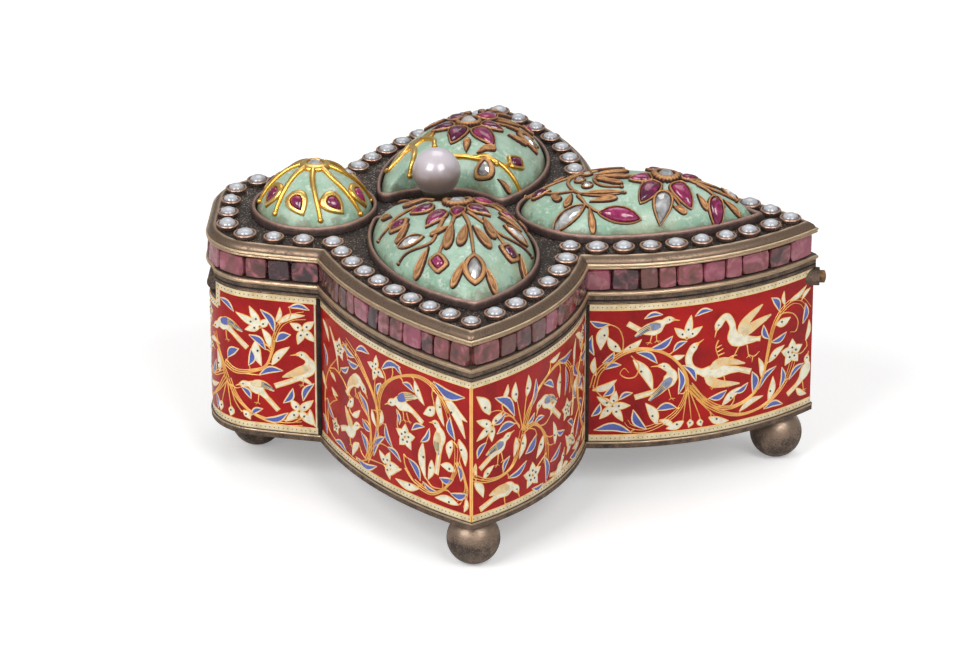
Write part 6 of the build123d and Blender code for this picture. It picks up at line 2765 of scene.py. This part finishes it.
TAIL_SPRAY = Spray(
    settings=(
        Setting(((28.3, 0.4), (31.7, 0.8)),
                3.2, Cut.ROUND, Fill.DIAMOND, rim=1.35, height=1.2, milled=True),
        *row(Fill.RUBY, Cut.HEART, (26.9, -0.9, 23.0, -1.9, 3.0), (28.0, -2.6, 25.2, -7.8, 3.4),
             (32.0, -2.2, 35.2, -6.2, 3.3), (33.2, 1.0, 36.8, 2.0, 2.8), (31.2, 3.8, 33.8, 8.0, 3.2),
             (28.4, 3.8, 26.6, 8.0, 3.2)),
        *row(Fill.DIAMOND, Cut.DROP, (29.9, -5.0, 29.1, -9.9, 3.2), rim=0.6),
        *row(Fill.RUBY, Cut.DROP, (40.0, -2.4, 40.7, -6.2, 2.8), (3.2, 0.6, 6.4, -0.4, 2.6),
             (40.4, 4.0, 42.8, 6.0, 2.4)),
        *row(Fill.RUBY, Cut.LEAF, (17.0, -10.1, 25.0, -10.3, 3.0), (17.4, 10.2, 24.4, 10.4, 3.0)),
        *row(Fill.DIAMOND, Cut.LEAF, (8.0, -10.4, 13.8, -8.3, 2.7), (44.4, -0.2, 41.4, 1.6, 1.8),
             (8.4, 10.6, 13.4, 9.0, 2.4)),
        *row(Fill.DIAMOND, Cut.ROUND, (13.1, 3.9, 14.9, 3.3, 1.6), (11.8, 1.4, 13.4, -0.2, 1.6),
             (13.3, -1.9, 15.1, -2.9, 1.6), rim=0.3),
        *row(Fill.LEAF, Cut.BUD, (7.0, -3.0, 8.9, -5.3, 1.5), (11.2, -4.4, 10.1, -7.6, 1.5),
             (14.8, -8.6, 15.8, -12.4, 1.3), (14.9, -7.7, 20.4, -7.3, 1.2), (31.6, -7.1, 34.4, -7.2, 1.3),
             (15.6, -0.4, 21.4, -3.2, 1.1), (16.0, 0.6, 22.8, -0.6, 1.1), (15.6, 1.6, 22.4, 2.4, 1.1),
             (36.4, -3.4, 38.6, -5.2, 1.2), (41.6, -2.2, 45.2, -2.4, 1.1), (15.0, 8.4, 16.2, 12.2, 1.3),
             (15.0, 7.6, 20.2, 7.0, 1.2), (31.4, 9.0, 34.4, 8.8, 1.3), (7.2, 3.6, 9.4, 6.0, 1.4)),
        *row(Fill.LEAF, Cut.LEAF, (21.4, 5.4, 13.2, 7.6, 1.0), (21.8, -6.0, 13.2, -5.2, 1.0))),
    stems=(((21.6, 5.6), (15.6, 6.6), (11.2, 4.2), (10.2, 0.4), (12.2, -4.2), (17, -6.4), (21.8, -5.9)),
           ((21.4, 3.6), (17.6, 3.8), (15.9, 1.8), (15.6, -0.6), (17.2, -3.2), (21.2, -4.2)),
           ((33.8, 0.2), (37.2, -0.6), (40.4, -0.8), (44.4, -0.5)), ((36.4, -0.8), (38.8, -1.6),
           (41.8, -3.2)),
           ((36, 0.6), (39.4, 0.8), (41.8, 2.4)), ((14, -8), (15.8, -9.4), (17.2, -10.1)),
           ((12.4, -5.2), (14, -8), (13.2, -8.7)), ((30.2, -4.4), (32, -5.6), (33.4, -6.9)),
           ((5.4, -0.6), (7.6, -2.4), (11.8, -3.6)), ((14, 8), (15.8, 9.4), (17.4, 10.1)),
           ((12.2, 6.4), (14, 8), (13.2, 9.0)), ((1.8, 2.6), (5.4, 3.4), (10.6, 4.4)), ((16.2, 0.2),
           (20, 0), (25.6, 0.2))))

BACK_SPRAY = Spray(
    settings=(
        Setting(((-13.2, 23.4), (-9.6, 23.0)),
                3.4, Cut.ROUND, Fill.DIAMOND, rim=0.9, height=1.2, milled=True),
        *row(Fill.RUBY, Cut.HEART, (-14.6, 22.4, -18.6, 21.2, 3.2), (-12.8, 20.4, -14.6, 15.8, 3.5),
             (-9.4, 20.0, -6.0, 14.6, 3.6), (-8.4, 22.8, -4.6, 21.4, 3.0), (-9.0, 26.0, -6.2, 30.0, 3.2),
             (-13.2, 26.2, -15.6, 30.2, 3.2)),
        *row(Fill.DIAMOND, Cut.HEART, (-7.4, 9.0, -7.2, 11.2, 2.7), rim=1.1, length=3.0),
        *row(Fill.DIAMOND, Cut.HEART, (-0.4, 24.6, 2.2, 22.4, 1.9), rim=1.1),
        *row(Fill.DIAMOND, Cut.LEAF, (-7.0, 36.0, -6.6, 41.6, 3.0), (-20.4, 28.4, -17.0, 30.0, 2.0),
             rim=0.6),
        *row(Fill.RUBY, Cut.SQUARE, (-14.2, 36.4, -13.0, 38.2, 1.9), (0.0, 30.6, 0.6, 32.6, 1.8)),
        *row(Fill.LEAF, Cut.BUD, (-9.0, 13.0, -5.4, 13.9, 1.5), (-11.4, 13.8, -11.3, 16.8, 1.4),
             (-6.0, 25.6, -1.4, 28.4, 1.5), (-3.2, 20.6, 0.6, 21.2, 1.4), (-4.6, 7.4, -2.2, 6.9, 1.0),
             (-11.6, 29.0, -12.4, 35.0, 1.5), (-8.8, 29.6, -9.4, 35.4, 1.5),
             (-6.6, 30.8, -3.4, 34.6, 1.5),
             (-18.4, 32.4, -18.4, 36.6, 1.4), (-3.6, 24.4, 1.6, 26.6, 1.4))),
    stems=(((-7.2, 23.6), (-2.6, 25.6), (2.6, 25.4)), ((-10.4, 25.6), (-8.6, 30), (-7.0, 36)),
           ((-13.4, 26.8), (-16.2, 30.6), (-21.4, 31.2)), ((-9.4, 26.2), (-4.6, 29), (0.2, 31))),
    bright=(((-14.6, 13.4), (-11.2, 13.0), (-7.0, 11.2), (-3.6, 10.4), (0.8, 9.0)),
            ((-9.6, 12.4), (-7.4, 11.9), (-5.0, 10.2)), ((-3.4, 10.6), (-2.6, 11.8), (-1.6, 12.7)),
            ((-23.6, 18.4), (-24.6, 15.6), (-27.2, 13.4), (-27.8, 14.6)), ((-22.4, 16.2), (-22.0, 12.2),
            (-22.9, 9.4)),
            ((-20.8, 18.8), (-18.4, 16.6), (-18.0, 14.2))),
    bright_settings=(
        *row(Fill.RUBY, Cut.SQUARE, (-2.2, 12.7, -0.3, 14.2, 2.0), rim=0.7),
        *row(Fill.LEAF, Cut.HEART, (-25.4, 16.6, -19.0, 19.8, 3.6), (-20.2, 17.8, -18.6, 22.2, 2.6),
             rim=0.3, height=0.5)))


@dataclass
class GoldWork:
    """Settings, leaves and twigs on the domes.

    Attributes:
        palette: The box's materials.
        sides: Corners of a cabochon's outline.
        facets: Sides of a cut diamond.
        leaf_sides: Corners of a leaf's outline.
        notches: Points to each corner in a milled edge.
        twig_r: Radius of a red twig.
        bright_r: Radius of a bright one.
    """

    palette: Palette
    sides: int = 22
    facets: int = 8
    leaf_sides: int = 16
    notches: int = 4
    twig_r: float = 0.46
    bright_r: float = 0.6

    def build(self, works: Sequence[tuple[Dome, Spray]]) -> None:
        """Make the gold work of every dome, one piece for each metal and stone.

        Args:
            works: Each dome with its spray.
        """
        own = self.palette
        red, bright, stones = Shell(), Shell(), {Fill.RUBY: Shell(), Fill.DIAMOND: Shell()}
        for dome, spray in works:
            for metal, settings in ((red, spray.settings), (bright, spray.bright_settings)):
                for setting in settings:
                    self.frame(dome, setting, metal)
                    if setting.fill is not Fill.LEAF:
                        self.stone(dome, setting, stones[setting.fill])
        for name, shell, finish, slot, crease in (
                ("red_gold_settings", red, own.ornament, "silver_gilt", 45),
                ("bright_gold_settings", bright, own.gold, "silver_gilt", 45),
                ("ruby_stones", stones[Fill.RUBY], own.ruby, "garnet", 60),
                ("diamond_stones", stones[Fill.DIAMOND], own.diamond, "half_pearl", 12)):
            seat(shell.piece(name, [finish], crease=crease), "lid", slot)
        self.twigs("red_gold_twigs", [(dome, path) for dome, spray in works for path in spray.stems],
                   self.twig_r, own.ornament)
        self.twigs("bright_gold_twigs", [(dome, path) for dome, spray in works for path in spray.bright],
                   self.bright_r, own.gold)

    def loop(self, dome: Dome, setting: Setting, scale: float, grow: float, above: float,
             sides: int) -> np.ndarray:
        """An outline pressed on the dome.

        Args:
            dome: The dome.
            setting: The setting it belongs to.
            scale: Size over that of the stone.
            grow: Added on every side.
            above: Height over the jade.
            sides: Corners.

        Returns:
            Points round the outline.
        """
        run = [dome.lift(x, y) for x, y in smooth(setting.path, 9)]
        steps = np.concatenate([[0.0], np.cumsum([(b - a).length for a, b in zip(run, run[1:])])])
        middle, found = steps[-1] / 2, []
        half = setting.length / 2 or middle
        for i in range(sides):
            turn = 2 * math.pi * i / sides
            share = (1 - math.cos(turn)) / 2
            along = middle + (half * scale + grow) * (2 * share - 1)
            here = Vector([float(np.interp(along, steps, [p[k] for p in run])) for k in range(3)])
            if along < 0:
                here += (run[0] - run[1]).normalized() * -along
            if along > steps[-1]:
                here += (run[-1] - run[-2]).normalized() * (along - steps[-1])
            _, out = dome.press(here)
            side = (run[-1] - run[0]).cross(out).normalized()
            reach = (setting.width / 2 * scale + grow) * setting.cut.share(share)
            spot, out = dome.press(here + side * reach * (1 if math.sin(turn) >= 0 else -1))
            found.append(spot + out * above)
        return np.array(found)

    def skin(self, dome: Dome, setting: Setting, sides: int, shell: Shell,
             section: Sequence[tuple[float, ...]], closed: bool = False) -> None:
        """Gather a turned form over the outline of a setting.

        Args:
            dome: The dome.
            setting: The setting.
            sides: Corners of the outline.
            shell: What it is added to.
            section: Scale, growth, height and wear of each loop.
            closed: The section closes on itself.
        """
        loops = [self.loop(dome, setting, scale, grow, above, sides) for scale, grow, above, _ in section]
        if closed and setting.milled:
            middle = loops[3].mean(axis=0)
            for loop in loops[:3]:
                for first, depth in ((0, 0.1), (1, 0.07)):
                    loop[first::self.notches] += (middle - loop[first::self.notches]) * depth
        shell.rings(loops, closed, [worn for *_, worn in section])

    def frame(self, dome: Dome, setting: Setting, shell: Shell) -> None:
        """The metal of a setting: a collet round its stone, or a dished leaf with a raised edge.

        Args:
            dome: The dome.
            setting: The setting.
            shell: What it is added to.
        """
        rim, top = setting.rim, setting.height
        if setting.fill is Fill.LEAF:
            self.skin(dome, setting, self.leaf_sides, shell, [
                (1.0, 0.2, -0.3, 0.0), (1.0, 0.17, top * 0.3, 0.0), (1.0, 0.02, top * 0.85, 0.5),
                (0.84, 0.0, top, 0.95), (0.62, 0.0, top * 0.8, 0.6), (0.12, 0.0, top * 0.95, 0.9)])
            return
        sides = self.sides * (self.notches if setting.milled else 1)
        self.skin(dome, setting, sides, shell, [
            (1.0, rim * 1.12, -0.3, 0.0), (1.0, rim * 1.08, top * 0.3, 0.0),
            (1.0, rim * 0.86, top * 0.8, 0.7), (1.0, rim * 0.46, top, 1.0), (1.0, 0.12, top * 0.94, 0.6),
            (1.0, -0.04, top * 0.5, 0.0), (1.0, -0.02, -0.3, 0.0)], closed=True)

    def stone(self, dome: Dome, setting: Setting, shell: Shell) -> None:
        """A low polished ruby, or a diamond with a table and one row of facets.

        Args:
            dome: The dome.
            setting: The setting.
            shell: What it is added to.
        """
        top, (x, y) = setting.height, setting.path[0]
        tint = abs(x * 7.3 + y * 3.1) % 1.0
        sides = self.sides
        sizes = ((1.0, -0.2), (0.99, top * 0.55), (0.9, top * 0.95), (0.7, top * 1.3), (0.42, top * 1.5),
                 (0.15, top * 1.56))
        if setting.fill is not Fill.RUBY:
            sides, tint = self.facets, 0.8
            sizes = ((1.12, -0.2), (1.1, top * 0.4), (0.5, top * 1.15))
        self.skin(dome, setting, sides, shell, [(scale, 0.0, above, tint) for scale, above in sizes])

    def twigs(self, name: str, paths: Sequence[tuple[Dome, Path]], radius: float, finish: Material) -> None:
        """Gold twigs that lie on the jade and thin out to a bud at their ends.

        Args:
            name: Name of the piece.
            paths: Each twig's dome and its path in plan.
            radius: Radius of a twig.
            finish: Its material.
        """
        laid = [[tuple(dome.lift(x, y, radius * 0.25)) for x, y in stem(path, 7)] for dome, path in paths]
        recipe = Recipe(name)
        wire = recipe.tube(radius, 10, To_Min=1.05, To_Max=0.72)
        ends = recipe.node("GeometryNodeCurveEndpointSelection", {"Start Size": 0, "End Size": 1})
        buds = recipe.node("GeometryNodeInstanceOnPoints", {
            "Points": recipe.start, "Instance": recipe.ball("Bud radius", radius * 1.05, 10, 6),
            "Selection": ends})
        both = recipe.node("GeometryNodeJoinGeometry", {"Geometry": [wire, buds]})
        piece = recipe.bake(lines(name, laid), name, both, finish, 80)
        seat(piece, "lid", "silver_gilt")


@dataclass
class CentrePearl:
    """The large pearl and its turned cup.

    Attributes:
        palette: The box's materials.
        x: Its place on the middle line.
        radius: Radius of the pearl.
        cup_h: Height of the cup.
        lip_r: Radius at which the pearl rests on the cup's lip.
        dent: How far the pearl is out of round, as a share of its radius.
    """

    palette: Palette
    x: float = -16.7
    radius: float = 4.95
    cup_h: float = 6.0
    lip_r: float = 3.7
    dent: float = 0.02

    def build(self) -> None:
        """Make pearl and cup."""
        middle = PLATE_Z + self.cup_h + math.sqrt(self.radius ** 2 - self.lip_r ** 2)
        pearl, levels, sides, loops = Shell(), 40, 56, []
        for i in range(1, levels):
            lean = math.pi * i / levels - math.pi / 2
            swell = 1 - self.dent * math.sin(lean + 0.5) ** 2
            height = middle + self.radius * math.sin(lean)
            loops.append(self.ring(self.radius * math.cos(lean) * swell, height, sides))
        pearl.rings(loops)
        piece = pearl.piece("lilac_pearl", [self.palette.grey_pearl])
        seat(piece, "lid", "grey_pearl", ["centre_pearl"])
        section = [(4.4, 0.0, 0.1), (4.42, 0.35, 0.7), (4.3, 0.7, 0.9), (3.95, 0.85, 0.3), (3.2, 1.15, 0.1),
                   (2.5, 1.8, 0.1), (2.15, 2.6, 0.3), (2.2, 3.3, 0.3), (2.55, 4.2, 0.3), (3.1, 5.1, 0.5),
                   (3.55, 5.75, 0.8), (3.72, 6.1, 1.0), (3.66, 6.25, 0.8), (3.5, 6.05, 0.2), (2.6, 5.0, 0.0),
                   (1.4, 4.5, 0.0)]
        cup = Shell()
        cup.rings([self.ring(r, PLATE_Z + rise, 48) for r, rise, _ in section],
                  wear=[worn for *_, worn in section])
        piece = cup.piece("turned_cup", [self.palette.dark], crease=50)
        seat(piece, "lid", "tarnished_silver", ["pearl_cup"])
        dress(self.palette.steel, "pearl_peg")

    def ring(self, radius: float, height: float, sides: int) -> np.ndarray:
        """A level ring about the pearl's axis."""
        turns = np.linspace(0, 2 * math.pi, sides, endpoint=False)
        xs, ys = self.x + radius * np.cos(turns), radius * np.sin(turns)
        return np.column_stack([xs, ys, np.full(sides, height)])


# ------------------------------------------------------------------ studio
@dataclass
class Studio:
    """Floor, light and camera.

    Attributes:
        eye: The camera's place.
        target: Where it looks.
        lens: Focal length.
        sky: Level of the white surround.
        reach: Half length of the floor.
        glow: Light that the floor shows to the camera alone.
        lamps: Name, turn from the front, height in degrees, distance, size and power of each lamp.
    """

    eye: tuple[float, float, float] = (42.8, -926.5, 460.3)
    target: tuple[float, float, float] = (-7.7, 36.7, 10.5)
    lens: float = 181.8
    sky: float = 0.32
    reach: float = 9000.0
    glow: Colour = (0.3, 0.3, 0.3)
    lamps: tuple[tuple[str, float, float, float, float, float], ...] = (
        ("left_softbox", -38.0, 40.0, 1300.0, 620.0, 8.5), ("right_softbox", 32.0, 42.0, 1300.0, 620.0, 7.5),
        ("top_softbox", 180.0, 62.0, 1500.0, 900.0, 4.5))

    def build(self) -> None:
        """Make the studio."""
        self.floor()
        world = bpy.data.worlds.new("studio")
        world.use_nodes = True
        shade = world.node_tree.nodes["Background"]
        shade.inputs["Color"].default_value = (1.0, 1.0, 1.0, 1.0)
        shade.inputs["Strength"].default_value = self.sky
        bpy.context.scene.world = world
        for lamp in self.lamps:
            self.softbox(*lamp)
        self.camera()

    def floor(self) -> None:
        """A pale floor."""
        g = Graph("pale_floor")
        seen = g.node("ShaderNodeLightPath", {}, {}, "Is Camera Ray")
        glow = g.mix(seen, (0.0, 0.0, 0.0), self.glow)
        material = g.surface((0.86, 0.86, 0.86), 0.8, Emission_Color=glow, Emission_Strength=1.0)
        shell, far = Shell(), self.reach
        shell.add([(-far, -far, 0), (far, -far, 0), (far, far, 0), (-far, far, 0)], [(0, 1, 2, 3)])
        floor = shell.piece("floor", [material], outward=False)

    def softbox(self, name: str, azimuth: float, elevation: float, away: float, size: float,
                power: float) -> None:
        """A square lamp that faces the box.

        Args:
            name: Its name.
            azimuth: Turn from the front towards the tail, in degrees.
            elevation: Height over the floor, in degrees.
            away: Its distance.
            size: Its side.
            power: Its power, in watts.
        """
        lamp = bpy.data.lights.new(name, "AREA")
        lamp.size, lamp.energy = size * MM, power
        a, e = math.radians(azimuth), math.radians(elevation)
        spot = Vector((math.sin(a) * math.cos(e), -math.cos(a) * math.cos(e), math.sin(e))) * away * MM
        holder = linked(name, lamp)
        holder.location = spot
        holder.rotation_euler = (-spot).to_track_quat("-Z", "Y").to_euler()

    def camera(self) -> None:
        """The camera, level, looking down on the box from its front."""
        data = bpy.data.cameras.new("camera")
        data.lens, data.sensor_width = self.lens, 36.0
        holder = linked("camera", data)
        holder.location = Vector(self.eye) * MM
        holder.rotation_euler = (Vector(self.target) - Vector(self.eye)).to_track_quat("-Z", "Y").to_euler()
        bpy.context.scene.camera = holder
        bpy.context.scene.view_settings.view_transform = "Standard"


def main() -> None:
    """Build the box from its feet to its pearl."""
    logging.basicConfig(level=logging.INFO, format="%(message)s")
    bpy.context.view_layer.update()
    palette, plan = Palette(), BoxPlan()
    Casket(plan, palette).build()
    EnamelWork(plan, palette).build()
    LidEdge(plan, palette).build()
    domes = [Dome(Lobe.HEAD, RoundPlan(), palette, top=(-41.8, 0.0), height=10.2, swell=1.45),
             Dome(Lobe.FRONT, LeafPlan(), palette, top=(-10.6, -21.0)),
             Dome(Lobe.TAIL, DropPlan(), palette, top=(27.0, 0.0), height=9.1, swell=1.1),
             Dome(Lobe.BACK, LeafPlan(back=True), palette, top=(-10.6, 21.0))]
    collars = Shell()
    for dome in domes:
        dome.build()
        dome.bezel(collars)
    piece = collars.piece("rounded_bezels", [palette.bezel], crease=60)
    seat(piece, "lid", "tarnished_silver", ["dome_bezels"])
    GoldWork(palette).build(list(zip(domes, (head_spray(), FRONT_SPRAY, TAIL_SPRAY, BACK_SPRAY))))
    CentrePearl(palette).build()
    Studio().build()


if __name__ == "__main__":
    main()
